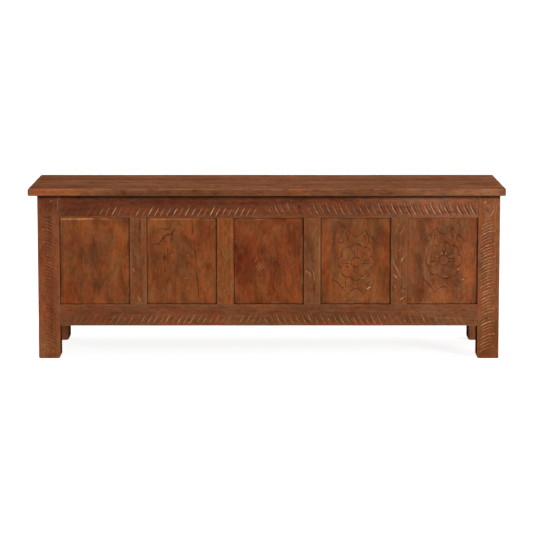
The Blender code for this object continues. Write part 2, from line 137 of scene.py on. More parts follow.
def mixValues(tree, factor, a, b):
    return put(tree, "ShaderNodeMix", {0: factor, 2: a, 3: b}, data_type="FLOAT").outputs[0]


def addUp(tree, *parts):
    # the sum of values, each times its share
    total = times(tree, *parts[0])
    for value, share in parts[1:]:
        node = put(tree, "ShaderNodeMath", {0: value, 1: share, 2: total}, operation="MULTIPLY_ADD")
        total = node.outputs[0]
    return total


def backgroundRay(tree):
    # 1 for what the camera sees straight, in a mirror or through glass
    path = put(tree, "ShaderNodeLightPath").outputs
    seen = maths(tree, "MAXIMUM", path["Is Camera Ray"], path["Is Glossy Ray"])
    return maths(tree, "MAXIMUM", seen, path["Is Transmission Ray"])


def addWorld(settings):
    world = bpy.data.worlds.new("studio")
    world.use_nodes = True
    tree = world.node_tree
    fill(tree, tree.nodes["Background"], {
        "Color": (*settings["colour"], 1.0),
        "Strength": mixValues(tree, backgroundRay(tree), settings["light"], settings["seen"])})
    bpy.context.scene.world = world


def addFloor(settings):
    reach = settings["reach"]
    corners = [(-reach, -reach), (reach, -reach), (reach, reach), (-reach, reach)]
    mesh = bpy.data.meshes.new("floor")
    mesh.from_pydata([(x, y, -settings["drop"]) for x, y in corners], [], [(0, 1, 2, 3)])
    floor = addObject("floor", mesh)
    material, tree, shader = newMaterial("pale floor")
    fill(tree, shader, {
        "Base Color": (*settings["colour"], 1.0), "Roughness": settings["rough"],
        "Specular IOR Level": settings["gloss"], "Emission Color": (1.0, 1.0, 1.0, 1.0),
        "Emission Strength": times(tree, backgroundRay(tree), settings["glow"])})
    mesh.materials.append(material)


scene = bpy.context.scene
scene.view_settings.view_transform = "Standard"
addCamera(cameraSettings)
addWorld(worldSettings)
addFloor(floorSettings)
for lampName, lampValues in lampSettings.items():
    addLamp(lampName, lampValues)

print("2. finishes")


def newGroup(name, inputs, outputs):
    # an input is a number, a colour, or None for a place
    group = bpy.data.node_groups.new(name, "ShaderNodeTree")
    for label, value in inputs.items():
        kind = {float: "Float", tuple: "Color"}.get(type(value), "Vector")
        socket = group.interface.new_socket(name=label, in_out="INPUT", socket_type="NodeSocket" + kind)
        if value is not None:
            socket.default_value = (*value, 1.0) if kind == "Color" else value
    for label, kind in outputs.items():
        group.interface.new_socket(name=label, in_out="OUTPUT", socket_type="NodeSocket" + kind)
    return group, group.nodes.new("NodeGroupInput").outputs, group.nodes.new("NodeGroupOutput")


def noise(tree, place, stretch, detail=2.0, rough=0.5, warp=0.0):
    # smooth noise from 0 to 1, with stretch[i] features to the metre along each direction
    moved = put(tree, "ShaderNodeVectorMath", {0: place, 1: stretch}, operation="MULTIPLY").outputs[0]
    values = {"Vector": moved, "Scale": 1.0, "Detail": detail, "Roughness": rough, "Distortion": warp}
    return put(tree, "ShaderNodeTexNoise", values).outputs["Fac"]


def spread(tree, value, low, high, to=(0.0, 1.0)):
    # low..high of a value becomes the range to, with soft ends
    values = {"Value": value, "From Min": low, "From Max": high, "To Min": to[0], "To Max": to[1]}
    return put(tree, "ShaderNodeMapRange", values, interpolation_type="SMOOTHSTEP").outputs[0]


def buildOakFigure():
    # Grain runs along the first coordinate: rings, fibres, open pores, and rays across them
    group, given, result = newGroup(
        "oak figure",
        {"Grain": None, "Light": (0.24, 0.09, 0.04), "Dark": (0.12, 0.04, 0.016), "Contrast": 1.0,
         "Streaks": 0.24, "Pores": 0.6, "Rays": 0.3, "Patchy": 0.8,
         "Redder": (1.12, 0.9, 0.78), "Yellower": (0.92, 1.1, 1.18)},
        {"Colour": "Color", "Height": "Float"})
    place = given["Grain"]
    broad = noise(group, place, (1.3, 13.0, 13.0), 3.0, 0.55, 0.6)
    rings = noise(group, place, (2.6, 190.0, 190.0), 3.0, 0.6, 0.5)
    fibres = noise(group, place, (26.0, 900.0, 900.0), 2.0, 0.6)
    cloud = noise(group, place, (9.0, 17.0, 17.0), 4.0, 0.65, 0.8)
    mottle = noise(group, place, (55.0, 120.0, 120.0), 3.0, 0.6, 0.5)
    pores = spread(group, noise(group, place, (45.0, 1300.0, 1100.0), 1.0), 0.58, 0.66)
    flecks = spread(group, noise(group, place, (240.0, 34.0, 60.0), 2.0, 0.5, 1.2), 0.6, 0.7)
    longer = maths(group, "ADD", given["Streaks"], 0.04)
    cloudy = addUp(group, (given["Streaks"], -2.0), (0.82, 1.0))
    tone = addUp(group, (broad, longer), (rings, given["Streaks"]), (fibres, 0.12), (mottle, 0.28),
                 (cloud, cloudy))
    tone = maths(group, "SUBTRACT", tone, 0.63)
    tone = times(group, tone, times(group, given["Contrast"], 3.4))
    tone = maths(group, "ADD", tone, 0.5, clamp=True)
    colour = mixColours(group, tone, given["Dark"], given["Light"])
    flecks = times(group, flecks, given["Rays"])
    colour = mixColours(group, times(group, flecks, 0.4), colour, given["Light"])
    patches = spread(group, noise(group, place, (15.0, 30.0, 30.0), 4.0, 0.66, 0.5), 0.34, 0.66)
    patches = mixColours(group, patches, given["Redder"], given["Yellower"])
    colour = mixColours(group, given["Patchy"], colour, patches, "MULTIPLY")
    darkPores = mixColours(group, 0.75, colour, (0.01, 0.004, 0.002, 1.0))
    colour = mixColours(group, times(group, pores, given["Pores"]), colour, darkPores)
    height = addUp(group, (rings, 0.5), (fibres, 0.3), (mottle, 0.3), (pores, -0.6))
    fill(group, result, {"Colour": colour, "Height": height})
    return group


def buildOldSurface():
    # what age does to a board: dirt in the cuts that is partly painted shade, a painted highlight on their
    # pale walls, paler arrises, and dry wood that was never waxed
    group, given, result = newGroup(
        "old surface",
        {"Grain": None, "Colour": (0.2, 0.07, 0.03), "Tint": (1.0, 1.0, 1.0), "Cut": 0.0, "Edge": 0.0,
         "Wear_and_sheen": 0.0, "Raw": 0.0, "Worn Colour": (0.34, 0.155, 0.07),
         # the colour of the painted highlight on the cuts' pale walls and beside the panels' joints
         "Rubbed Colour": (0.7, 0.385, 0.205),
         "Dirt Colour": (0.046, 0.0125, 0.005), "Dry Colour": (0.15, 0.08, 0.045),
         "Dirt_and_shade": 0.6, "Wear": 0.5, "Waxed": 0.42},
        {"Colour": "Color", "Roughness": "Float"})
    place = given["Grain"]
    patches = noise(group, place, (26.0, 70.0, 70.0), 4.0, 0.65)
    specks = noise(group, place, (260.0, 260.0, 260.0), 2.0, 0.6)
    colour = mixColours(group, 1.0, given["Colour"], given["Tint"], "MULTIPLY")
    dirt_and_shade = spread(group, given["Cut"], 0.02, 0.75)
    dirt_and_shade = times(group, dirt_and_shade, spread(group, specks, 0.2, 0.6, (0.6, 1.0)))
    dirt_and_shade = times(group, dirt_and_shade, given["Dirt_and_shade"], clamp=True)
    colour = mixColours(group, dirt_and_shade, colour, given["Dirt Colour"])
    worn = times(group, given["Edge"], spread(group, patches, 0.3, 0.6))
    worn = times(group, worn, given["Wear"], clamp=True)
    colour = mixColours(group, worn, colour, given["Worn Colour"])
    wear_and_sheen = spread(group, patches, 0.3, 0.55, (0.45, 1.0))
    wear_and_sheen = times(group, given["Wear_and_sheen"], wear_and_sheen, clamp=True)
    colour = mixColours(group, wear_and_sheen, colour, given["Rubbed Colour"])
    dryStreaks = noise(group, place, (3.0, 90.0, 90.0), 4.0, 0.65)
    dry = mixColours(group, dryStreaks, (0.45, 0.45, 0.45, 1.0), (1.5, 1.5, 1.5, 1.0))
    dry = mixColours(group, 1.0, given["Dry Colour"], dry, "MULTIPLY")
    colour = mixColours(group, given["Raw"], colour, dry)
    rough = addUp(group, (given["Raw"], 0.35), (dirt_and_shade, 0.22), (worn, -0.08))
    rough = maths(group, "ADD", rough, given["Waxed"])
    rough = maths(group, "ADD", rough, spread(group, patches, 0.3, 0.7, (-0.06, 0.08)), clamp=True)
    fill(group, result, {"Colour": colour, "Roughness": rough})
    return group


def buildForgedIron():
    group, given, result = newGroup(
        "forged iron",
        {"Place": None, "Iron": (0.035, 0.033, 0.032), "Rust": (0.12, 0.045, 0.02), "Rusty": 0.6},
        {"Colour": "Color", "Metal": "Float", "Roughness": "Float", "Height": "Float"})
    place = given["Place"]
    patches = noise(group, place, (55.0, 55.0, 55.0), 5.0, 0.7)
    hammered = noise(group, place, (130.0, 130.0, 130.0), 1.0, 0.4)
    grit = noise(group, place, (900.0, 900.0, 900.0), 2.0, 0.6)
    rust = times(group, spread(group, patches, 0.48, 0.66), given["Rusty"])
    wear_and_sheen = spread(group, patches, 0.3, 0.42, (0.5, 0.0))
    colour = mixColours(group, wear_and_sheen, given["Iron"], (0.16, 0.15, 0.145, 1.0))
    colour = mixColours(group, rust, colour, given["Rust"])
    metal = maths(group, "SUBTRACT", 0.9, rust, clamp=True)
    rough = addUp(group, (rust, 0.4), (spread(group, grit, 0.3, 0.7, (0.42, 0.6)), 1.0))
    height = addUp(group, (hammered, 1.0), (patches, 0.4), (grit, 0.15))
    fill(group, result, {"Colour": colour, "Metal": metal, "Roughness": rough, "Height": height})
    return group


oakFigure = buildOakFigure()
oldSurface = buildOldSurface()
forgedIron = buildForgedIron()

oakFinishes = {  # bump is in metres; gloss is the shader's specular level
    "carved oak": {
        "Light": (0.253, 0.082, 0.0322), "Dark": (0.118, 0.035, 0.0142), "Contrast": 1.25, "Pores": 0.5,
        "Rays": 0.4, "Dirt_and_shade": 0.9, "Wear": 0.7, "Waxed": 0.56, "bump": 0.0004, "gloss": 0.0,
    },
    "panel oak": {
        "Light": (0.252, 0.075, 0.023), "Dark": (0.118, 0.031, 0.009), "Contrast": 1.35, "Pores": 0.45,
        "Rays": 0.5, "Streaks": 0.1, "Dirt_and_shade": 0.9, "Wear": 0.6, "Waxed": 0.42, "bump": 0.0003, "gloss": 0.04,
    },
    "lid oak": {
        "Light": (0.252, 0.093, 0.043), "Dark": (0.115, 0.039, 0.017), "Contrast": 1.6, "Pores": 0.5,
        # a high Wear makes the arrises pale: partly wear, partly a painted highlight along the front arris
        "Rays": 0.3, "Patchy": 0.5, "Dirt_and_shade": 0.7, "Wear": 1.2, "Waxed": 0.62, "bump": 0.0004, "gloss": 0.0,
    },
    "plain oak": {
        "Light": (0.21, 0.09, 0.044), "Dark": (0.105, 0.039, 0.017), "Contrast": 1.2, "Pores": 0.7,
        "Rays": 0.5, "Patchy": 0.5, "Dirt_and_shade": 0.6, "Wear": 0.4, "Waxed": 0.6, "bump": 0.0006, "gloss": 0.05,
    },
    "peg oak": {
        "Light": (0.19, 0.066, 0.028), "Dark": (0.09, 0.03, 0.013), "Contrast": 1.2, "Pores": 0.8,
        "Rays": 0.0, "Dirt_and_shade": 0.6, "Wear": 0.6, "Waxed": 0.5, "bump": 0.0004, "gloss": 0.04,
    },
}
ironBump = 0.0012
markNames = ("cut", "edge", "wear_and_sheen", "raw")  # what each point of a board says of itself, from 0 to 1


def attribute(tree, name, output):
    return put(tree, "ShaderNodeAttribute", attribute_name=name).outputs[output]


def bump(tree, height, distance):
    values = {"Height": height, "Distance": distance, "Strength": 1.0}
    return put(tree, "ShaderNodeBump", values).outputs["Normal"]


def useGroup(tree, group, values):
    # a finish has values for both groups, so the ones that a group has no input for are left out
    node = put(tree, "ShaderNodeGroup", node_tree=group)
    for key, value in values.items():
        if key in node.inputs:
            fill(tree, node, {key: (*value, 1.0) if isinstance(value, tuple) else value})
    return node.outputs


def oakMaterial(name, finish):
    material, tree, shader = newMaterial(name)
    grain = attribute(tree, "grain", "Vector")
    figure = useGroup(tree, oakFigure, {"Grain": grain, **finish})
    marks = {mark.capitalize(): attribute(tree, mark, "Fac") for mark in markNames}
    surface = useGroup(tree, oldSurface, {
        **finish, **marks, "Grain": grain, "Colour": figure["Colour"],
        "Tint": attribute(tree, "tint", "Color")})
    fill(tree, shader, {
        "Base Color": surface["Colour"], "Roughness": surface["Roughness"],
        "Specular IOR Level": finish["gloss"], "Normal": bump(tree, figure["Height"], finish["bump"])})
    return material


def ironMaterial(name):
    material, tree, shader = newMaterial(name)
    iron = useGroup(tree, forgedIron, {"Place": put(tree, "ShaderNodeTexCoord").outputs["Object"]})
    fill(tree, shader, {
        "Base Color": iron["Colour"], "Metallic": iron["Metal"], "Roughness": iron["Roughness"],
        "Normal": bump(tree, iron["Height"], ironBump)})
    return material


materials = {name: oakMaterial(name, finish) for name, finish in oakFinishes.items()}
materials["iron"] = ironMaterial("iron")

print("3. how a board is made")

# How each wall lies: along it, up it, and into the wood from the face that shows
wallAxes = {
    "front": ((1, 0, 0), (0, 0, 1), (0, 1, 0)),
    "back": ((-1, 0, 0), (0, 0, 1), (0, -1, 0)),
    "left": ((0, -1, 0), (0, 0, 1), (1, 0, 0)),
    "right": ((0, 1, 0), (0, 0, 1), (-1, 0, 0)),
    "top": ((1, 0, 0), (0, 1, 0), (0, 0, -1)),
    "under": ((1, 0, 0), (0, -1, 0), (0, 0, 1)),
}
sides = ("left", "right", "bottom", "top")  # of a board, as its show face is seen


def nodeSpan(node, wall):
    # lowest and highest corners of a CAD node, in a wall's own directions
    ends = np.array([np.array(wallAxes[wall]) @ np.array(corner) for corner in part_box(node)])
    return ends.min(0), ends.max(0)


def offWall(wall, places):
    # points in space, from how far they are along, up and into a wall
    return sum(np.outer(place, axis) for place, axis in zip(places, wallAxes[wall]))


def middleOf(node):
    # of a CAD node, as seen from the front
    low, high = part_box(node)
    return (low.x + high.x) / 2, (low.z + high.z) / 2


def drift(a, b, seed):
    # values from 0 to 1 that change smoothly, with a new one at each whole step of a and b
    size = 61
    table = np.random.default_rng(seed).random((size, size))
    i = np.floor(a).astype(int)
    j = np.floor(b).astype(int)
    s = a - i
    t = b - j
    s = s * s * (3 - 2 * s)
    t = t * t * (3 - 2 * t)
    low = table[i % size, j % size] * (1 - s) + table[(i + 1) % size, j % size] * s
    high = table[i % size, (j + 1) % size] * (1 - s) + table[(i + 1) % size, (j + 1) % size] * s
    return low * (1 - t) + high * t


def gridLines(length, step, skip, edge):
    # places across a face: even, or on a coarse grid closer together near the two arrises
    count = skip * max(2, round(length / (step * skip)))
    if skip > 1:
        return np.linspace(0.0, length, count + 1)
    near = np.array([0.0, 0.25, 0.55, 1.0]) * edge
    middle = np.linspace(edge, length - edge, count + 1)[1:-1]
    return np.concatenate([near, middle, length - near[::-1]])


def gridQuads(columns, rows, first, flip):
    i, j = np.meshgrid(np.arange(columns - 1), np.arange(rows - 1), indexing="ij")
    a = (i * rows + j).ravel() + first
    quads = np.stack([a, a + rows, a + rows + 1, a + 1], axis=1)
    return quads[:, ::-1] if flip else quads


def gridRing(columns, rows):
    # numbers of the points round a grid's edge, in order
    lastI, lastJ = columns - 1, rows - 1
    i = [np.arange(lastI), np.full(lastJ, lastI), np.arange(lastI, 0, -1), np.zeros(lastJ, int)]
    j = [np.zeros(lastI, int), np.arange(lastJ), np.full(lastI, lastJ), np.arange(lastJ, 0, -1)]
    i, j = np.concatenate(i), np.concatenate(j)
    return i * rows + j, i, j


def bandFaces(near, far):
    # quads between a ring and the one behind it, or polygons where the one behind has fewer points
    if len(near) == len(far):
        return np.stack([near, far, np.roll(far, -1), np.roll(near, -1)], axis=1).tolist()
    skip = len(near) // len(far)
    faces = []
    for k, point in enumerate(far):
        along = [near[(k * skip + step) % len(near)] for step in range(skip, -1, -1)]
        faces.append([point, far[(k + 1) % len(far)], *along])
    return faces


def meshFromFaces(name, points, faces):
    totals = np.array([len(face) for face in faces])
    corners = np.concatenate([np.asarray(face) for face in faces]).astype(np.int32)
    mesh = bpy.data.meshes.new(name)
    mesh.vertices.add(len(points))
    mesh.vertices.foreach_set("co", np.asarray(points, np.float32).ravel())
    mesh.loops.add(len(corners))
    mesh.loops.foreach_set("vertex_index", corners)
    mesh.polygons.add(len(totals))
    mesh.polygons.foreach_set("loop_start", (np.cumsum(totals) - totals).astype(np.int32))
    mesh.update(calc_edges=True)
    mesh.shade_smooth()
    mesh.set_sharp_from_angle(angle=math.radians(38))
    return mesh


def setAttribute(mesh, name, kind, field, values):
    values = np.asarray(values, np.float32)
    mesh.attributes.new(name, kind, "POINT").data.foreach_set(field, values.ravel())


def finishPiece(name, mesh, finish, body, *nodes):
    mesh.materials.append(materials[finish])
    piece = addObject(name, mesh)
    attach(piece, body)
    if nodes:
        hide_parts(*nodes)


arrisShape = {
    "least": 0.65, "more": 0.7, "length": 0.035,     # how the radius of an arris changes along it
    "deepest": 1.35, "rings": (0.25, 0.6, 1.0),      # rings of points that follow its turn
    "near": 0.004, "nearShare": 0.5,                 # how far its pale edge fades into the face
}
swayLengths = (0.09, 0.08)  # how long the waver of an outline is, on the low sides and on the high ones


def roundArris(u, v, w, size, radii):
    # takes the sharp edge off the show face, by a radius for each point; also says how near the arris is
    across = np.minimum(u, size[0] - u)
    up = np.minimum(v, size[1] - v)
    radiusU = np.where(u < size[0] / 2, radii["left"], radii["right"])
    radiusV = np.where(v < size[1] / 2, radii["bottom"], radii["top"])
    x = np.clip(1 - across / radiusU, 0, 1)
    y = np.clip(1 - up / radiusV, 0, 1)
    share = np.maximum(x + y, 1e-9)
    radius = (x * radiusU + y * radiusV) / share
    z = np.where(x + y > 0, np.clip(1 - w / np.maximum(radius, 1e-9), 0, 1), 0.0)
    length = np.maximum(np.sqrt(x * x + y * y + z * z), 1e-9)
    newAcross = np.where((x > 0) & (z > 0), radiusU * (1 - x / length), across)
    newUp = np.where((y > 0) & (z > 0), radiusV * (1 - y / length), up)
    newU = np.where(u < size[0] / 2, newAcross, size[0] - newAcross)
    newV = np.where(v < size[1] / 2, newUp, size[1] - newUp)
    newW = np.where(z > 0, radius * (1 - z / length), w)
    fade = arrisShape["near"]
    near = arrisShape["nearShare"] * np.exp(-np.minimum(across, up) / fade) * np.exp(-w / fade)
    return newU, newV, newW, np.maximum(np.minimum(np.maximum(x, y), z), near)


def roundCorner(u, v, size, corner, radius):
    # rounds one corner of a board's outline, through its whole thickness
    across = u if "left" in corner else size[0] - u
    up = v if "bottom" in corner else size[1] - v
    a = np.clip(1 - across / radius, 0, 1)
    b = np.clip(1 - up / radius, 0, 1)
    scale = np.maximum(a, b) / np.maximum(np.hypot(a, b), 1e-9)
    across = np.where((a > 0) & (b > 0), radius * (1 - a * scale), across)
    up = np.where((a > 0) & (b > 0), radius * (1 - b * scale), up)
    return (across if "left" in corner else size[0] - across,
            up if "bottom" in corner else size[1] - up)


def shapeBoard(u, v, w, size, form):
    # rounds the arrises and corners, and lets the board waver a little, always inwards
    seed = form["seed"]
    alongSides = {"left": v, "right": v, "bottom": u, "top": u}
    radii = {}
    for k, (side, radius) in enumerate(zip(sides, form["arris"])):
        change = drift(alongSides[side] / arrisShape["length"], 0 * u, seed + k)
        radii[side] = radius * (arrisShape["least"] + arrisShape["more"] * change)
    u, v, w, edge = roundArris(u, v, w, size, radii)
    if form.get("underArris"):
        under = {side: form["underArris"] for side in sides}
        u, v, below, lowEdge = roundArris(u, v, size[2] - w, size, under)
        w = size[2] - below
        edge = np.maximum(edge, 0.6 * lowEdge)
    for corner, radius in form.get("corners", {}).items():
        u, v = roundCorner(u, v, size, corner, radius)
    wave = form.get("wave", 0.0003)
    sway = dict.fromkeys(sides, form.get("sway", 0.00025))
    sway.update(dict.fromkeys(form.get("straight", ()), 0.0))
    long, short = form.get("waveLength", (0.16, 0.05))
    along, across = (u, v) if form["grain"] == "u" else (v, u)
    shareU, shareV, shareW = u / size[0], v / size[1], w / size[2]
    frontDip = wave * drift(along / long, across / short, seed + 11)
    backDip = wave * form.get("backWave", 1.5) * drift(along / long, across / short, seed + 12)
    low, high = swayLengths
    inU = sway["left"] * drift(v / low, 0 * v, seed + 13) * (1 - shareU)
    inU = inU - sway["right"] * drift(v / high, 0 * v, seed + 14) * shareU
    inV = sway["bottom"] * drift(u / low, 0 * u, seed + 15) * (1 - shareV)
    inV = inV - sway["top"] * drift(u / high, 0 * u, seed + 16) * shareV
    inV = inV + form.get("meets", 0.0) * shareV
    return u + inU, v + inV, w + frontDip * (1 - shareW) - backDip * shareW, edge


def woodTint(form, u, v):
    # the colour that each point's wood is multiplied by
    tint = np.ones((len(u), 3)) * np.array(form.get("tint", (1.0, 1.0, 1.0)))
    addBlots({"u": u, "v": v, "tint": tint}, form.get("blots", ()))
    return tint


def markPiece(mesh, grain, marks):
    # grain is each point's place in the wood, along it first
    blank = np.zeros(len(grain))
    setAttribute(mesh, "grain", "FLOAT_VECTOR", "vector", grain)
    for name in markNames:
        setAttribute(mesh, name, "FLOAT", "value", np.clip(marks.get(name, blank), 0, 1))
    setAttribute(mesh, "tint", "FLOAT_COLOR", "color", np.column_stack([marks["tint"], blank + 1]))


def settleBoard(node, wall, form, low, places, moved, faces, marks):
    # makes the object from points in a wall's directions; places are where they were before shaping
    mesh = meshFromFaces(node, offWall(wall, [place + start for place, start in zip(moved, low)]), faces)
    shift = np.random.default_rng(form["seed"]).random(3) * 20
    u, v, w = places[0] + low[0], places[1] + low[1], places[2]
    markPiece(mesh, np.stack((u, v, w) if form["grain"] == "u" else (v, u, w), axis=1) + shift, marks)
    finishPiece("oak_" + node, mesh, form["finish"], form["body"], node)


def placed(values, total, lowInset, highInset):
    return lowInset + values * (total - lowInset - highInset) / total


def ringLayers(form, thick, low):
    # the rings of points behind the show face: each is its depth, how far it is set in on the four
    # sides, and a notch for a groove that stops short of the board's ends
    flat = (0.0, 0.0, 0.0, 0.0)
    layers = [(depth, flat, None) for depth in form.get("rows", ())]
    for side, (start, end, reach, *ends) in form.get("grooves", {}).items():
        cutSides = ("left", "right") if side == "both" else (side,)
        inset, notch = tuple(reach * (s in cutSides) for s in sides), None
        if ends:
            inset, notch = flat, (side, reach, ends[0] - low[1], ends[1] - low[1])
        layers += [(start, flat, None), (start, inset, notch), (end, inset, notch), (end, flat, None)]
    if "slope" in form:
        tongueThick, band, slope = form["slope"]
        layers += [(tongueThick, flat, None), (tongueThick, (band,) * 4, None)]
        backInset = band + slope
    else:
        backInset = form.get("backBevel", 0.0015)
        layers.append((thick - backInset, flat, None))
    return sorted(layers, key=lambda layer: layer[0]), backInset


def buildBoard(node, wall, form, span=None, work=None):
    # one piece of wood in place of a CAD node. span gives its corners where they differ from the
    # node's, and work(face) carves and stains the show face.
    low, high = span or nodeSpan(node, wall)
    size = high - low
    skip = form["skip"]
    deepest = max(form["arris"]) * arrisShape["deepest"]
    us, vs = (gridLines(length, form["step"], skip, deepest) for length in size[:2])
    shape = (len(us), len(vs))
    face = {
        "u": us + low[0], "v": vs + low[1], "depth": np.zeros(shape), "dirt_and_shade": np.zeros(shape),
        "wear_and_sheen": np.zeros(shape), "wear": np.ones(shape),
        "tint": np.ones((*shape, 3)) * np.array(form.get("tint", (1.0, 1.0, 1.0))),
    }
    if work:
        work(face)
    gridU, gridV = np.meshgrid(us, vs, indexing="ij")
    front = gridU.size
    u, v, w = [gridU.ravel()], [gridV.ravel()], [np.zeros(front)]
    ringNumbers, ringI, ringJ = gridRing(*shape)
    rings = [ringNumbers]

    def addRing(ringU, ringV, depth):
        rings.append(np.arange(len(ringU)) + sum(map(len, u)))
        u.append(ringU)
        v.append(ringV)
        w.append(np.full(len(ringU), depth))

    for share in arrisShape["rings"]:
        addRing(us[ringI], vs[ringJ], share * deepest)
    backI, backJ = ringI[::skip], ringJ[::skip]
    layers, backInset = ringLayers(form, size[2], low)
    for depth, inset, notch in layers:
        ringU = placed(us[backI], size[0], *inset[:2])
        ringV = placed(vs[backJ], size[1], *inset[2:])
        if notch:
            side, reach, cutLow, cutHigh = notch
            column = len(us) - 1 if side == "right" else 0
            inside = (backI == column) & (ringV > cutLow) & (ringV < cutHigh)
            ringU = ringU + np.where(inside, reach if side == "left" else -reach, 0.0)
        addRing(ringU, ringV, depth)
    backU, backV = np.meshgrid(us[::skip], vs[::skip], indexing="ij")
    addRing(placed(backU.ravel(), size[0], backInset, backInset),
            placed(backV.ravel(), size[1], backInset, backInset), size[2])
    firstBack = rings[-1][0]
    rings[-1] = rings[-1][gridRing(*backU.shape)[0]]
    u, v, w = np.concatenate(u), np.concatenate(v), np.concatenate(w)

    faces = gridQuads(*shape, 0, flip=False).tolist()
    for near, far in zip(rings, rings[1:]):
        faces += bandFaces(near, far)
    faces += gridQuads(*backU.shape, firstBack, flip=True).tolist()

    *moved, edge = shapeBoard(u, v, w, size, form)
    moved[2][:front] += face["depth"].ravel()
    marks = {"edge": edge, "cut": 0 * u, "wear_and_sheen": 0 * u, "raw": 0 * u + form.get("raw", 0.0)}
    marks["cut"][:front] = face["dirt_and_shade"].ravel()
    marks["wear_and_sheen"][:front] = face["wear_and_sheen"].ravel()
    if form.get("rawBack", True):
        marks["raw"][firstBack:] = 1.0
    marks["tint"] = woodTint(form, u + low[0], v + low[1])
    marks["tint"][:front] = face["tint"].reshape(-1, 3)
    settleBoard(node, wall, form, low, (u, v, w), moved, faces, marks)


def dressBoard(node, wall, form):
    # a CAD board kept with its notches and seats, cut into squares small enough to be shaped
    low, high = nodeSpan(node, wall)
    size = high - low
    deepest = max(form["arris"]) * arrisShape["deepest"]
    work = bmesh.new()
    work.from_mesh(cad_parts[node].data)
    bmesh.ops.remove_doubles(work, verts=work.verts, dist=1e-6)
    bmesh.ops.dissolve_limit(work, angle_limit=math.radians(1), verts=work.verts, edges=work.edges)
    depths = np.array(arrisShape["rings"]) * deepest
    if "underArris" in form:
        depths = np.concatenate([depths, size[2] - np.array([1.0, 0.5]) * form["underArris"]])
    lines = [gridLines(length, form["step"], 1, deepest)[1:-1] for length in size[:2]]
    for axis, start, values in zip(wallAxes[wall], low, [*lines, depths]):
        axis = Vector(axis)
        for value in values:
            geometry = work.verts[:] + work.edges[:] + work.faces[:]
            bmesh.ops.bisect_plane(work, geom=geometry, dist=1e-6, plane_co=axis * (start + value),
                                   plane_no=axis)
    work.verts.index_update()
    points = np.array([vertex.co for vertex in work.verts])
    faces = [[vertex.index for vertex in face.verts] for face in work.faces]
    work.free()
    u, v, w = (points @ np.array(axis) - start for axis, start in zip(wallAxes[wall], low))
    *moved, edge = shapeBoard(u, v, w, size, form)
    raw = 0 * u + form.get("raw", 0.0)
    if form.get("rawBack", True):
        raw = np.maximum(raw, np.clip((w - size[2] + 0.004) / 0.002, 0, 1))
    marks = {"edge": edge, "raw": raw, "tint": woodTint(form, u + low[0], v + low[1])}
    settleBoard(node, wall, form, low, (u, v, w), moved, faces, marks)


print("4. how the carver's cuts are made")

mm = 0.001
paleWay = (-0.9, 0.43)  # the side of a cut, along and up, that is cut at a gentler slope and painted pale, as a highlight where the light falls
cutShape = {
    "reach": 0.9,         # how far to the side of its path a cut is worked out, in widths
    "lean": 2.5,          # how soon a paler cut turns to its pale side, and by how much that is wider
    "wider": 0.4,
    "thinnest": 0.4,      # share of its width where it doesn't swell
    "gapLength": 0.009,   # along it, from one weak place to the next
    "dirtAndShadeFrom": 0.0012,  # depth at which its dirt and painted shade are full
}
rowChange = {"slip": 1.0, "force": (0.72, 1.12), "rubbing_and_sheen": (0.55, 1.2)}  # from cut to cut; slip in mm
scratchShape = {"length": (0.006, 0.032), "turn": (0.2, 2.9), "width": 0.0028, "depth": 0.0004}
# dirt and painted shade along a panel's joints, and a broken painted highlight line beside them
jointShape = {
    "cover": 0.01,  # how much of the panel its frame covers
    "dirt_and_shade": 0.0024, "dark": (0.24, 0.18, 0.16),
    "paleLine": 0.015, "paleWidth": 0.0022, "pale": 0.22,
}
blotGrain = (0.016, 0.026)  # how long and high the ragged places in a blot's edge are


def smooth(points, steps=6):
    # a curve through all of the points
    p = np.asarray(points, float)
    p = np.vstack([2 * p[0] - p[1], p, 2 * p[-1] - p[-2]])
    t = np.linspace(0.0, 1.0, steps, endpoint=False)[:, None]
    parts = [
        0.5 * (2 * b + (c - a) * t + (2 * a - 5 * b + 4 * c - d) * t ** 2
               + (3 * b - a - 3 * c + d) * t ** 3)
        for a, b, c, d in zip(p, p[1:], p[2:], p[3:])
    ]
    return np.vstack([*parts, p[-2]])


def ring(middle, radius, steps=24):
    # a closed path; the radius may change from point to point
    turns = np.linspace(0.0, 2 * math.pi, steps + 1)
    return np.stack([middle[0] + radius * np.cos(turns), middle[1] + radius * np.sin(turns)], axis=1)


def keepLarger(face, name, values, window=...):
    face[name][window] = np.maximum(face[name][window], values)


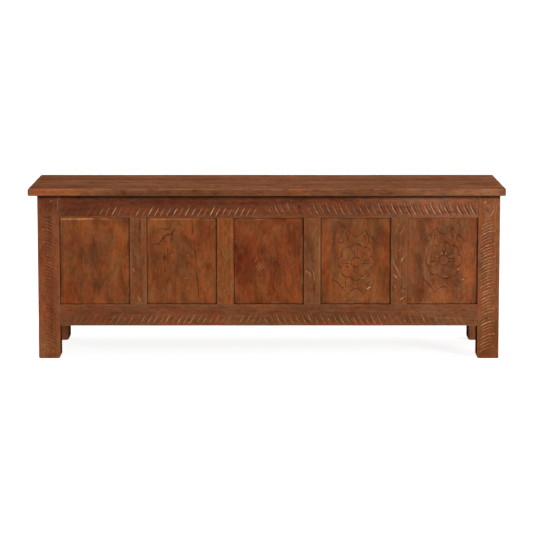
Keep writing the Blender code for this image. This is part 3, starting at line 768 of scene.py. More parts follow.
def cut(face, path, width, depth, pale=0.0, taper=0.5, late=1.0, broken=0.35, paleSide=paleWay):
    # one cut along a path of (u, v) points. taper thins its ends, late moves its widest place towards
    # the end, pale paints a highlight on its gentler wall and keeps dirt off it, and broken makes it come
    # and go as old cuts do.
    path = np.asarray(path, float)
    reach = width * cutShape["reach"]
    i0, i1 = np.searchsorted(face["u"], (path[:, 0].min() - reach, path[:, 0].max() + reach))
    j0, j1 = np.searchsorted(face["v"], (path[:, 1].min() - reach, path[:, 1].max() + reach))
    if i1 - i0 < 2 or j1 - j0 < 2:
        return
    gridU, gridV = np.meshgrid(face["u"][i0:i1], face["v"][j0:j1], indexing="ij")
    run = np.diff(path, axis=0)
    lengths = np.hypot(run[:, 0], run[:, 1])
    fromU = gridU[..., None] - path[:-1, 0]
    fromV = gridV[..., None] - path[:-1, 1]
    t = np.clip((fromU * run[:, 0] + fromV * run[:, 1]) / lengths ** 2, 0, 1)
    outU = fromU - t * run[:, 0]
    outV = fromV - t * run[:, 1]
    away = np.hypot(outU, outV)
    travelled = np.cumsum(lengths) - lengths + t * lengths
    nearest = away.argmin(-1)[..., None]
    values = (outU, outV, away, travelled)
    outU, outV, away, travelled = (np.take_along_axis(a, nearest, -1)[..., 0] for a in values)
    lean = min(1.0, cutShape["lean"] * pale)  # a cut without a pale wall is even, and dark on both sides
    turned = lean * (outU * paleSide[0] + outV * paleSide[1]) / np.maximum(away, 1e-6)
    share = np.clip(travelled / lengths.sum(), 0.01, 0.99)
    swell = np.sin(np.pi * share ** late) ** taper if taper else np.ones_like(share)
    gaps = drift(travelled / cutShape["gapLength"] + path[0, 0] * 917, path[0, 1] * 613 + 0 * travelled, 41)
    swell = swell * (1 - broken + 1.3 * broken * gaps)
    thin = cutShape["thinnest"]
    near = away / (width / 2 * (thin + (1 - thin) * swell) * (1 + cutShape["wider"] * turned))
    window = (slice(i0, i1), slice(j0, j1))
    force = swell * face["wear"][window]
    shape = np.clip(1 - near ** 1.5, 0, 1)
    wear_and_sheen = np.clip(turned, 0, 1)
    keepLarger(face, "depth", depth * force * shape, window)
    # dirt in the cut, less on its pale wall, so the other wall is darker: partly dirt, partly painted shade
    dirt_and_shade = force * shape ** 0.7 * (1 - 0.85 * wear_and_sheen) * min(1.0, depth / cutShape["dirtAndShadeFrom"])
    keepLarger(face, "dirt_and_shade", dirt_and_shade, window)
    paleness = pale * force * wear_and_sheen * np.clip(near / 0.3, 0, 1) * np.clip((1.2 - near) / 0.4, 0, 1)
    paleness = paleness * np.clip(1.5 * swell - 0.35, 0, 1)  # only the widest part of a cut gets the painted highlight
    keepLarger(face, "wear_and_sheen", paleness, window)


def hollow(face, middle, radius, depth):
    # a shallow round scoop
    across = (face["u"][:, None] - middle[0]) / radius
    up = (face["v"][None, :] - middle[1]) / radius
    keepLarger(face, "depth", depth * np.clip(1 - across ** 2 - up ** 2, 0, 1) * face["wear"])


def within(u, v, middle, radii):
    # 0 in the middle of a patch, and 1 on the oval that radii give
    return ((u - middle[0]) / radii[0]) ** 2 + ((v - middle[1]) / radii[1]) ** 2


def addBlots(face, blots, shift=(0.0, 0.0)):
    # soft patches of another colour, which is multiplied in: mostly the wood's own tone, in some places
    # painted light or shade
    u, v = face["u"], face["v"]
    if face["tint"].ndim == 3:
        u, v = u[:, None], v[None, :]
    ragged = drift(u / blotGrain[0] + 0 * v, v / blotGrain[1] + 0 * u, 77)
    for middle, radii, colour in blots:
        away = within(u, v, (shift[0] + middle[0], shift[1] + middle[1]), radii)
        share = np.exp(-away * (0.5 + ragged))[..., None]
        face["tint"] *= 1 + share * (np.array(colour) - 1)


def wearPatches(face, patches):
    # places where the carving is rubbed down to the share left
    for middle, radii, left in patches:
        away = within(face["u"][:, None], face["v"][None, :], middle, radii)
        face["wear"] *= 1 - (1 - left) * np.exp(-away)


def jointDirtAndShade(face, strength=(1.0, 1.0, 1.0, 1.0)):
    # dirt and painted shade where a panel meets its frame, with a strength for each of its sides, and a
    # broken painted highlight line beside it
    u, v = face["u"], face["v"]
    gaps = ((u - u[0])[:, None], (u[-1] - u)[:, None], (v - v[0])[None, :], (v[-1] - v)[None, :])
    away = np.minimum(np.minimum(gaps[0], gaps[1]), np.minimum(gaps[2], gaps[3]))
    for force, gapBeside in zip(strength, gaps):
        beyond = np.maximum(gapBeside - jointShape["cover"], 0)
        share = np.minimum(force, 1) * np.exp(-beyond / (jointShape["dirt_and_shade"] * force))
        face["tint"] *= 1 + share[..., None] * (np.array(jointShape["dark"]) - 1)
    ragged = drift(u[:, None] / 0.03 + 0 * away, v[None, :] / 0.03 + 0 * away, 12)
    line = np.exp(-((away - jointShape["paleLine"]) / jointShape["paleWidth"]) ** 2)
    keepLarger(face, "wear_and_sheen", jointShape["pale"] * line * ragged ** 3)


def lidShade(face, strength=0.85, shadow=0.0065, reach=0.004):
    # painted shadow: a dark band along the top of a piece, right under the lid
    below = np.maximum(face["v"][-1] - shadow - face["v"], 0)
    face["tint"] *= 1 - strength * np.exp(-(below / reach) ** 1.5)[None, :, None]


def addScratches(face, middle, reach, count, seed):
    # fine marks from use, mostly slanting, in no order
    random = np.random.default_rng(seed)
    for _ in range(count):
        start = np.array(middle) + random.uniform(-1, 1, 2) * reach
        turn = random.uniform(*scratchShape["turn"])
        end = start + random.uniform(*scratchShape["length"]) * np.array((math.cos(turn), math.sin(turn)))
        pale = random.uniform(0.0, 0.5)
        cut(face, [start, end], scratchShape["width"], scratchShape["depth"], pale, broken=0.6)


def carveRow(face, motif, places, flip=(1, 1), seed=0, taper=0.5, paleSide=paleWay):
    # cuts a motif, given in millimetres, at each (u, v) place; flip mirrors or stretches it
    random = np.random.default_rng(seed)
    for middle in places:
        for points, width, depth, pale, *late in motif:
            slip = random.uniform(-rowChange["slip"], rowChange["slip"], 2)
            force = random.uniform(*rowChange["force"])
            rubbing_and_sheen = random.uniform(*rowChange["rubbing_and_sheen"])
            moved = [((a + slip[0]) * flip[0] * mm, (b + slip[1]) * flip[1] * mm) for a, b in points]
            path = smooth([(middle[0] + a, middle[1] + b) for a, b in moved])
            cut(face, path, width * mm, depth * mm * force, pale * rubbing_and_sheen, taper, *late, paleSide=paleSide)


def rowPlaces(start, pitch, count, height):
    return [(start + pitch * k, height) for k in range(count)]


# Motifs: each cut is its points, width and depth in millimetres, how strong the painted highlight on
# its pale wall is, and how late it swells, where that isn't in its middle
railMotif = [
    (((-13, 32), (-10, 18), (-2, 3), (9, -13)), 5.2, 1.6, 0.9, 1.7),
    (((8, 42), (12, 22), (20, 4), (32, -13)), 5.4, 1.8, 1.05, 1.9),
    (((-8, 34), (-4, 18), (4, 2), (13, -12)), 3.0, 0.9, 0.0, 1.1),
    (((0, 38), (2, 22), (9, 5), (19, -12)), 3.4, 1.0, 0.3, 1.1),
    (((4, 40), (7, 24), (14, 6), (25, -12)), 3.0, 0.8, 0.0, 1.1),
    (((14, 38), (18, 20), (26, 4), (37, -12)), 3.0, 0.9, 0.0, 1.1),
    (((21, 42), (24, 26), (31, 8), (40, -8)), 3.2, 1.0, 0.3, 1.1),
]
leftRailMotif = [
    (((-10, 22), (-7, 11), (-1, 0), (7, -15)), 5.0, 1.6, 0.9, 1.5),
    (((10, 28), (13, 14), (20, 1), (29, -15)), 5.2, 1.8, 1.05, 1.6),
    (((-4, 26), (-1, 13), (4, 0), (12, -13)), 3.0, 0.8, 0.0, 1.1),
    (((1, 30), (4, 16), (9, 3), (18, -13)), 3.2, 0.9, 0.2, 1.1),
    (((15, 28), (19, 14), (26, 1), (35, -13)), 3.0, 0.9, 0.0, 1.1),
    (((22, 30), (25, 18), (31, 5), (39, -9)), 3.2, 0.9, 0.2, 1.1),
]
bottomRailMotif = [
    (((-13, 30), (-10, 18), (-2, 3), (9, -13)), 4.6, 1.5, 0.62, 1.6),
    (((8, 34), (12, 20), (20, 4), (32, -13)), 4.8, 1.6, 0.76, 1.7),
    (((-8, 30), (-4, 16), (4, 2), (13, -12)), 3.2, 1.1, 0.0, 1.1),
    (((0, 34), (2, 20), (9, 5), (19, -12)), 3.4, 1.0, 0.14, 1.1),
    (((14, 32), (18, 18), (26, 4), (37, -12)), 3.2, 1.1, 0.0, 1.1),
    (((21, 34), (24, 22), (31, 8), (40, -8)), 3.2, 1.0, 0.12, 1.1),
]
nickMotif = [(((-4, 0), (4, 0.6)), 4.4, 0.9, 0.6)]
postMotif = [
    (((-1, 1), (-12, -2), (-25, -8), (-40, -20)), 4.4, 1.5, 0.95, 0.9),
    (((-3, 12), (-13, 10), (-26, 3), (-38, -7)), 3.8, 1.2, 0.7, 0.9),
    (((-2, 24), (-13, 21), (-27, 14), (-41, 3)), 4.2, 1.4, 0.85, 0.9),
    (((-4, 34), (-14, 32), (-27, 25), (-39, 15)), 3.8, 1.1, 0.6, 0.9),
    (((-5, 6), (-14, 4), (-27, -3), (-39, -14)), 2.8, 0.7, 0.0),
    (((-6, 29), (-15, 26), (-28, 19), (-40, 8)), 2.8, 0.7, 0.0),
    (((-3, 0.4), (3, -0.4)), 5.6, 1.2, 1.2),
    (((6, 5), (8, 0), (6, -6)), 3.6, 0.8, 0.0),
]

print("5. the front")

gap = 0.0003
leftPost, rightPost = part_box("front_left_post"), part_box("front_right_post")
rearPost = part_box("rear_left_post")
lowRail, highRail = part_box("front_bottom_rail"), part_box("front_top_rail")
innerX = (leftPost[1].x + gap, rightPost[0].x - gap)
innerY = (leftPost[1].y + gap, rearPost[0].y - gap)
openZ = (lowRail[1].z + gap, highRail[0].z - gap)
tongue = {"thick": 0.008, "band": 0.016, "slope": 0.022, "groove": 0.01, "past": 0.008}


def grooveIn(box):
    # a groove for the panels' tongues: where it starts and ends under the show face, and its depth
    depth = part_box("front_panel_1")[0].y - box[0].y
    return depth - gap, depth + tongue["thick"] + gap, tongue["groove"]


railGroove = grooveIn(highRail)
postGroove = (*grooveIn(leftPost), openZ[0] - tongue["past"], openZ[1] + tongue["past"])

frontForm = {"step": 0.0012, "skip": 8, "body": "carcase", "wave": 0.0005, "waveLength": (0.12, 0.035)}


def shoulders(node, wall, along=None, up=None):
    # a node's span without its tenons: between the posts along the wall, or between the rails
    low, high = nodeSpan(node, wall)
    if along:
        low[0], high[0] = along
    if up:
        low[1], high[1] = up
    return low, high


def railWork(carving):
    def work(face):
        rows = ((1, *carving["right"]), (-1, *carving["left"]))
        for flip, _, _, nicks in rows:
            carveRow(face, nickMotif, rowPlaces(*nicks), (flip, 1), seed=8 + flip)
        wearPatches(face, carving["wear_and_sheen"])
        for flip, motif, strokes, _ in rows:
            carveRow(face, motif, rowPlaces(*strokes), (flip, 1), seed=5 + flip, taper=0.35)
        addBlots(face, carving["blots"])
        if carving["underLid"]:
            lidShade(face)
    return work


topRailForm = {
    **frontForm, "finish": "carved oak", "grain": "u", "seed": 101,
    "arris": (0.0008, 0.0008, 0.0022, 0.0012),
    "tint": (0.92, 0.87, 0.95), "grooves": {"bottom": railGroove},
}
topRailCarving = {  # a motif, its row and a row of nicks: first place along, pitch, how many, and height
    "right": (railMotif, (0.016, 0.0454, 16, 0.518), (0.0395, 0.0444, 16, 0.5525)),
    "left": (leftRailMotif, (-0.042, -0.0427, 16, 0.515), (-0.0506, -0.0427, 16, 0.552)),
    "wear_and_sheen": [  # middle, radii and the share of the carving that is left there
        ((-0.675, 0.52), (0.1, 0.2), 0.05), ((-0.485, 0.52), (0.03, 0.2), 0.08),
        ((-0.59, 0.52), (0.05, 0.2), 0.55), ((-0.425, 0.52), (0.014, 0.2), 0.3),
        ((-0.357, 0.52), (0.014, 0.2), 0.2), ((-0.4, 0.56), (0.28, 0.022), 0.25),
        ((-0.301, 0.52), (0.012, 0.2), 0.25), ((-0.213, 0.52), (0.012, 0.2), 0.3),
        ((-0.09, 0.52), (0.06, 0.2), 0.6), ((0.125, 0.52), (0.04, 0.2), 0.4),
        ((0.3, 0.52), (0.03, 0.2), 0.7), ((0.6, 0.52), (0.18, 0.2), 1.8)],
    "blots": [
        ((-0.66, 0.54), (0.1, 0.05), (0.72, 0.66, 0.7)), ((-0.45, 0.555), (0.16, 0.02), (0.74, 0.7, 0.76)),
        ((-0.2, 0.56), (0.2, 0.02), (0.82, 0.8, 0.86)), ((0.115, 0.535), (0.007, 0.007), (0.3, 0.2, 0.2)),
        ((0.12, 0.555), (0.1, 0.02), (0.86, 0.8, 0.86)), ((0.6, 0.53), (0.18, 0.05), (1.66, 2.0, 2.36)),
        # the last blot is a painted highlight along the rail's lower arris over the first panel
        ((-0.63, 0.497), (0.1, 0.004), (1.5, 1.5, 1.3))],
    "underLid": True,
}
bottomRailForm = {
    **frontForm, "finish": "carved oak", "grain": "u", "seed": 131,
    "arris": (0.0008, 0.0008, 0.0009, 0.0022),
    "tint": (0.96, 1.01, 1.05), "grooves": {"top": railGroove},
}
bottomRailCarving = {
    "right": (bottomRailMotif, (0.002, 0.0442, 16, 0.1325), (0.018, 0.0442, 16, 0.1735)),
    "left": (bottomRailMotif, (-0.024, -0.043, 16, 0.134), (-0.04, -0.043, 16, 0.174)),
    "wear_and_sheen": [
        ((-0.64, 0.15), (0.17, 0.2), 0.25), ((-0.3, 0.165), (0.4, 0.018), 0.35),
        ((-0.12, 0.15), (0.1, 0.2), 0.55), ((0.455, 0.15), (0.022, 0.2), 0.25),
        ((0.66, 0.15), (0.09, 0.2), 0.4), ((0.35, 0.175), (0.4, 0.018), 0.4)],
    "blots": [
        ((-0.6, 0.15), (0.12, 0.04), (0.84, 0.8, 0.8)), ((-0.19, 0.15), (0.05, 0.03), (0.85, 0.8, 0.86)),
        ((0.3, 0.17), (0.25, 0.03), (0.92, 0.92, 0.95)), ((-0.33, 0.13), (0.08, 0.02), (1.1, 1.08, 1.0)),
        ((0.05, 0.15), (0.22, 0.04), (0.84, 0.89, 0.84)), ((0.62, 0.15), (0.14, 0.05), (1.0, 1.12, 1.14))],
    "underLid": False,
}
rails = {"front_top_rail": (topRailForm, topRailCarving),
         "front_bottom_rail": (bottomRailForm, bottomRailCarving)}
for node, (form, carving) in rails.items():
    buildBoard(node, "front", form, shoulders(node, "front", along=innerX), railWork(carving))

postForm = {
    **frontForm, "finish": "carved oak", "grain": "v", "rows": (0.02, 0.04, 0.058), "backBevel": 0.002,
    "rawBack": False,
}
postDots = {"right": (0.7935, 0.4479), "left": (-0.7805, 0.4517), "pitch": 0.04535, "count": 10}
postPaleSide = (-0.5, 0.87)


def dotPlaces(side):
    along, first = postDots[side]
    return [(along, first - postDots["pitch"] * k) for k in range(postDots["count"])]


pegRing = {"radius": 0.005, "width": 0.0022, "depth": 0.0004}


def pegRings(face, side):
    # the dark line round each peg that pins a front rail
    for level in ("top", "bottom"):
        for number in (1, 2):
            middle = middleOf(f"front_{side}_{level}_peg_{number}")
            path = ring(middle, pegRing["radius"], 12)
            cut(face, path, pegRing["width"], pegRing["depth"], taper=0.0, broken=0.1)


def rightPostWork(face):
    wearPatches(face, [((0.775, 0.05), (0.06, 0.05), 0.75)])
    carveRow(face, postMotif, dotPlaces("right"), (1.2, 1), seed=8, taper=0.25, paleSide=postPaleSide)
    # the tulip in the top block, and the line under it
    tulipRight = smooth([(0.789, 0.557), (0.7925, 0.538), (0.7905, 0.519), (0.78, 0.5015), (0.766, 0.4945)])
    tulipLeft = smooth([(0.766, 0.4945), (0.755, 0.501), (0.749, 0.519), (0.747, 0.536)])
    cut(face, tulipRight, 0.0055, 0.0015, 0.6)
    cut(face, tulipLeft, 0.005, 0.0012, 0.3)
    tulipTop = smooth([(0.75, 0.5462), (0.764, 0.548), (0.777, 0.545)])
    cut(face, tulipTop, 0.005, 0.0012, 0.8, paleSide=postPaleSide)
    cut(face, smooth([(0.744, 0.475), (0.76, 0.482), (0.776, 0.489), (0.793, 0.4945)]), 0.005, 0.0013, 0.5)
    pegRings(face, "right")
    addBlots(face, [
        ((0.775, 0.54), (0.04, 0.05), (1.17, 1.34, 1.5)),
        ((0.767, 0.546), (0.016, 0.007), (1.25, 1.2, 1.0)),
        ((0.77, 0.06), (0.07, 0.1), (0.72, 0.62, 0.46))])
    lidShade(face)


def leftPostWork(face):
    wearPatches(face, [((-0.76, 0.24), (0.05, 0.04), 0.7), ((-0.76, 0.05), (0.06, 0.06), 0.8)])
    strokes = [(points, 4.0, 1.0, 0.16 * pale, late) for points, _, _, pale, late in postMotif[:4]]
    carveRow(face, strokes + postMotif[6:7], dotPlaces("left"), (-1.1, 1), seed=9, taper=0.3)
    cut(face, [(-0.764, 0.546), (-0.743, 0.556)], 0.005, 0.0012, 0.9, broken=0.1)
    cut(face, smooth([(-0.783, 0.504), (-0.774, 0.4995), (-0.762, 0.4975), (-0.746, 0.503)]), 0.004, 0.001)
    cut(face, [(-0.7275, 0.572), (-0.728, 0.535), (-0.7275, 0.512)], 0.0034, 0.0006, 0.6)
    pegRings(face, "left")
    addBlots(face, [
        ((-0.76, 0.54), (0.05, 0.035), (0.63, 0.65, 0.92)),
        ((-0.76, 0.27), (0.06, 0.11), (1.04, 0.88, 0.86)),
        ((-0.76, 0.05), (0.06, 0.06), (1.03, 1.13, 1.1))])
    lidShade(face)


buildBoard("front_right_post", "front", {
    **postForm, "seed": 151, "arris": (0.002, 0.0034, 0.003, 0.0012), "tint": (1.12, 1.14, 1.12),
    # painted shade down the post's inner side face
    "blots": [((0.7365, 0.05), (0.004, 0.09), (0.3, 0.26, 0.28))],
    "corners": {"bottom left": 0.008, "bottom right": 0.003}, "grooves": {"left": postGroove},
}, work=rightPostWork)
buildBoard("front_left_post", "front", {
    **postForm, "seed": 171, "arris": (0.0034, 0.002, 0.003, 0.0012), "tint": (1.22, 1.23, 1.2),
    # painted shade down the post's inner side face
    "blots": [((-0.7235, 0.05), (0.004, 0.09), (0.3, 0.26, 0.28))],
    "corners": {"bottom right": 0.01, "bottom left": 0.006}, "grooves": {"right": postGroove},
}, work=leftPostWork)

# The vine on the muntins, in millimetres from the middle of each
vine = [
    (((-19, 63), (-24, 40), (-22, 15), (-16, -6), (-6, -24), (3, -43), (8, -62)), 4.6, 1.6, 0.42, 1.4),
    (((8, -62), (9, -80), (2, -98), (-11, -114)), 4.0, 1.2, 0.2),
    (((-19, 63), (-16, 84), (-6, 104), (8, 120)), 4.0, 1.1, 0.2),
    (((2, 83), (7, 100), (19.5, 126)), 4.2, 1.1, 0.35),
    (((-1, 28), (1, 38), (10, 49)), 4.8, 1.4, 0.55),
    (((9, -6), (12, 6), (21, 19)), 4.8, 1.4, 0.65),
    (((-23, -44), (-14, -53), (-5, -63)), 5.6, 1.7, 0.9),
    (((-21, -79), (-18, -89), (-12, -98)), 4.4, 1.2, 0.3),
    (((5, -110), (14, -101), (25, -92)), 4.4, 1.2, 0.2),
    (((6, -118), (15, -110), (25, -100)), 5.2, 1.5, 0.65),
    (((2, -140), (12, -133), (25, -122)), 5.6, 1.7, 0.85),
    (((4, -12), (-2, 10), (-1, 28)), 3.2, 0.9, 0.0),
    (((-12, 134), (-4, 128), (0, 122)), 4.4, 1.1, 0.35),
    (((24, 96), (16, 72), (19, 50), (25, 30)), 3.0, 0.8, 0.0),
    (((-25, -12), (-17, -28), (-12, -40)), 3.0, 0.8, 0.0),
    (((22, -30), (17, -52), (20, -74)), 3.0, 0.8, 0.0),
]
quietVine = vine[1:4] + vine[11:]
vineLines = {  # pale lines that show on each muntin, lit from the upper right
    1: [
        (((-20, 74), (-15, 46), (-10, 17), (-11, 3)), 4.0, 1.0, 1.0),
        (((-22, -25), (-17, -34), (-13, -42)), 4.4, 1.2, 1.3),
        (((-9, -118), (1, -135), (12, -147)), 4.6, 1.2, 1.2), (((-25, -118), (-18, -134)), 4.2, 1.0, 1.0)],
    3: [
        (((-18, -6), (-9, -19), (2, -36), (6, -55), (8, -80)), 4.6, 1.5, 1.5, 1.4),
        (((-25, -34), (-18, -44)), 4.4, 1.3, 0.8), (((-18, -36), (-11, -44), (-8, -62)), 4.0, 1.1, 0.9),
        (((8, 51), (0.5, 30), (-5, 13)), 4.0, 1.0, 0.6)],
    4: [
        (((-17, 61), (-22, 17), (-21.5, -4), (-12, -23), (-2, -42), (5.5, -65)), 4.6, 1.6, 0.85, 1.4),
        (((-24, -46), (-15.5, -54), (-6, -63)), 5.2, 1.7, 1.25), (((-19, -82), (-14, -97)), 4.4, 1.2, 0.8),
        (((-8, 131), (-2, 122)), 4.4, 1.1, 0.8)],
}
scratches = [
    (((-16, 53), (-6, 30), (5, 4)), 4.0, 1.6, 1.6),
    (((-9, -112), (8, -94)), 4.0, 1.2, 1.0),
    (((-20, 10), (-12, -10)), 3.0, 1.0, 0.5),
]
muntins = {  # left is the share of the carving that wear has left
    1: {"carving": quietVine, "left": 0.4, "tint": (1.15, 1.21, 1.13),
        "arris": (0.0016, 0.0024, 0.0006, 0.0006),
        "blots": [
            ((0.006, 0.118), (0.0035, 0.045), (0.45, 0.36, 0.36)),
            ((-0.01, 0.04), (0.006, 0.1), (0.76, 0.72, 0.76)),
            ((0.012, -0.06), (0.007, 0.08), (0.8, 0.76, 0.78)),
            ((-0.004, 0.02), (0.006, 0.02), (1.2, 1.25, 1.3))]},
    2: {"carving": scratches, "left": 0.3, "tint": (1.23, 1.22, 0.95),
        "arris": (0.0022, 0.0022, 0.0006, 0.0006),
        "blots": [((0.0, 0.05), (0.03, 0.06), (1.06, 1.02, 0.9))]},
    3: {"carving": quietVine, "left": 0.8, "tint": (0.86, 0.92, 0.95),
        "arris": (0.0016, 0.0024, 0.0006, 0.0006),
        "blots": [
            ((0.02, 0.0), (0.014, 0.14), (1.16, 1.26, 1.26)),
            # a pale line down the right arris: partly wear, partly a painted highlight
            ((0.0275, 0.0), (0.0035, 0.13), (1.4, 1.5, 1.4)),
            ((0.01, -0.06), (0.02, 0.1), (1.06, 1.1, 0.98))]},
    4: {"carving": vine[1:6] + vine[8:], "left": 1.0, "tint": (0.94, 1.04, 1.02),
        "arris": (0.0018, 0.0018, 0.0006, 0.0006), "blots": []},
}


def muntinWork(number, settings):
    middle = (middleOf(f"front_muntin_{number}")[0], (openZ[0] + openZ[1]) / 2)

    def work(face):
        face["wear"] *= settings["left"]
        carveRow(face, settings["carving"], [middle], seed=31)
        carveRow(face, vineLines.get(number, []), [middle], seed=32, paleSide=(0.75, 0.66))
        addBlots(face, settings["blots"], middle)
    return work


for number, settings in muntins.items():
    node = f"front_muntin_{number}"
    form = {
        **frontForm, "finish": "carved oak", "grain": "v", "seed": 200 + 20 * number,
        "arris": settings["arris"], "tint": settings["tint"], "grooves": {"both": railGroove},
    }
    buildBoard(node, "front", form, shoulders(node, "front", up=openZ), muntinWork(number, settings))

rosette = {  # in millimetres from the middle of the flower
    "disc": 17.5, "petals": 8, "cusp": 53.0, "lobe": 11.5, "spoke": (20, 50), "pair": 5.0, "leaf": (19, 46),
    "scoop": {"out": 40, "radius": 14, "depth": 0.6},
    "rings": [((-54, 78), 11), ((54, 78), 11), ((-45, -80), 9.5), ((45, -80), 9.5)],
    "upper": [
        (-86, 60), (-78, 64), (-70, 69), (-63, 77), (-48, 91), (-40, 98), (-34, 107), (-26, 114),
        (-19, 101), (-11, 94), (0, 91), (11, 94), (19, 101), (26, 114), (35, 107), (40, 98), (48, 91),
        (63, 77), (70, 69), (78, 64), (86, 60)],
    "lower": [
        (-86, -61), (-75, -67), (-65, -70), (-43, -95), (-34, -107), (-27, -114), (-18, -102), (-9, -95),
        (0, -93), (9, -95), (18, -102), (27, -114), (34, -107), (43, -95), (65, -70), (75, -67), (86, -61)],
    "stems": [
        ((-32, 93), (-32, 70)), ((43, 89), (43, 71)), ((-36, -67), (-36, -89)), ((38, -74), (38, -89))],
    "width": 5.0, "depth": 1.5, "pale": 0.22,
}


def cutRosette(face, middle):
    # the flower in the middle, and a bracket with two rings above and below it
    width, depth, pale = rosette["width"] * mm, rosette["depth"] * mm, rosette["pale"]

    def at(point):
        return middle[0] + point[0] * mm, middle[1] + point[1] * mm

    cut(face, ring(middle, rosette["disc"] * mm), width, depth * 1.1, pale, taper=0.0)
    turns = np.linspace(0.0, 2 * math.pi, 129)
    lobes = rosette["cusp"] + rosette["lobe"] * np.abs(np.cos(turns * rosette["petals"] / 2)) ** 0.6
    cut(face, ring(middle, mm * lobes, len(turns) - 1), width, depth, pale, taper=0.0, broken=0.6)
    near, far = rosette["spoke"]
    leafStart, leafEnd = rosette["leaf"]
    scoop = rosette["scoop"]
    for k in range(rosette["petals"]):
        turn = 2 * math.pi * k / rosette["petals"]
        way = np.array((math.cos(turn), math.sin(turn)))
        side = np.array((-way[1], way[0])) * rosette["pair"]
        strong = 0.9 if k % 2 == 0 else 0.35  # every second spoke is faint
        for shift in (-1, 1):
            start, end = near * way + 0.8 * shift * side, far * way + shift * side
            cut(face, [at(start), at(end)], width * 0.85, depth * strong, pale * strong, taper=0.35)
        half = turn + math.pi / rosette["petals"]
        leafWay = np.array((math.cos(half), math.sin(half)))
        leaf = [at(leafStart * leafWay), at(leafEnd * leafWay)]
        cut(face, leaf, width * 0.9, 0.4 * depth, pale, taper=0.35)
        hollow(face, at(scoop["out"] * way), scoop["radius"] * mm, scoop["depth"] * mm)
    for side in ("upper", "lower"):
        cut(face, [at(point) for point in rosette[side]], width, depth, pale, taper=0.15, broken=0.6)
    for stem in rosette["stems"]:
        cut(face, [at(point) for point in stem], width * 1.1, depth * 1.1, pale, taper=0.3)
    for centre, radius in rosette["rings"]:
        cut(face, ring(at(centre), radius * mm), width * 0.9, depth * 0.8, pale, taper=0.0, broken=0.7)


gougeMarks = {  # deep cuts with a painted highlight on their pale wall, in millimetres from the middle of the flower
    3: [
        (((-48, -28), (-34, -10), (-22, 4)), 3.4, 0.9, 1.3),
        (((-40, -33), (-28, -18), (-15, -6)), 3.2, 0.8, 1.2),
        (((-52, -8), (-44, 2), (-37, 12)), 3.2, 0.8, 1.2),
        (((-45, 21), (-38, 12), (-30, 2)), 3.2, 0.8, 0.9),
        (((-32, -34), (-20, -24), (-8, -16)), 3.0, 0.7, 1.0)],
    4: [
        (((15.6, -61), (30, -54), (44, -46)), 5.0, 1.8, 1.1),
        (((37, -97), (46, -92), (55, -87)), 5.6, 2.0, 2.2),
        (((-38, -12), (-30, -17), (-22, -19)), 5.0, 1.5, 0.6),
        (((49, -80), (55, -76), (62, -75)), 4.0, 1.0, 0.5)],
    5: [
        (((-2, -59), (7, -59), (17, -59)), 5.6, 1.8, 1.5),
        (((60, -72), (68, -70), (77, -67)), 4.6, 1.4, 1.0),
        (((48, -39), (53, -33), (58, -27)), 5.0, 1.6, 1.1),
        (((-48, 2), (-38, 2), (-28, 1)), 4.0, 1.4, 1.0),
        (((-24, 10), (-20, 13), (-17, 15)), 5.0, 1.5, 1.4),
        (((22, 8), (30, 12), (40, 16)), 4.4, 1.4, 1.1),
        (((-5, 31), (-3, 26), (-3, 21)), 5.0, 1.5, 1.2), (((8, 18), (12, 25)), 4.4, 1.4, 0.9),
        (((-17, -18), (-13, -21)), 5.0, 1.4, 1.2),
        (((-26, -95), (-19, -98), (-12, -92)), 4.6, 1.3, 0.7),
        (((1, 18), (1, 37)), 3.8, 1.8, 0.0), (((14, 15), (22, 24)), 3.6, 1.6, 0.0),
        (((19, 5), (28, 7)), 4.4, 1.8, 0.0), (((19, -6), (26, -8)), 4.0, 1.6, 0.0),
        (((-1, -20), (-1, -50), (7, -53)), 3.8, 1.7, 0.0), (((-55, -3), (-20, -3)), 3.6, 1.5, 0.0),
        (((-4, -64), (8, -65), (20, -62), (42, -54)), 3.8, 1.7, 0.0),
        (((-34, -26), (-19, -12)), 3.6, 1.4, 0.0), (((12, -18), (24, -26)), 3.4, 1.3, 0.0),
        (((-52, 47), (-56, 20), (-60, 2), (-58, -20), (-47, -38)), 4.0, 1.6, 0.25)],
}
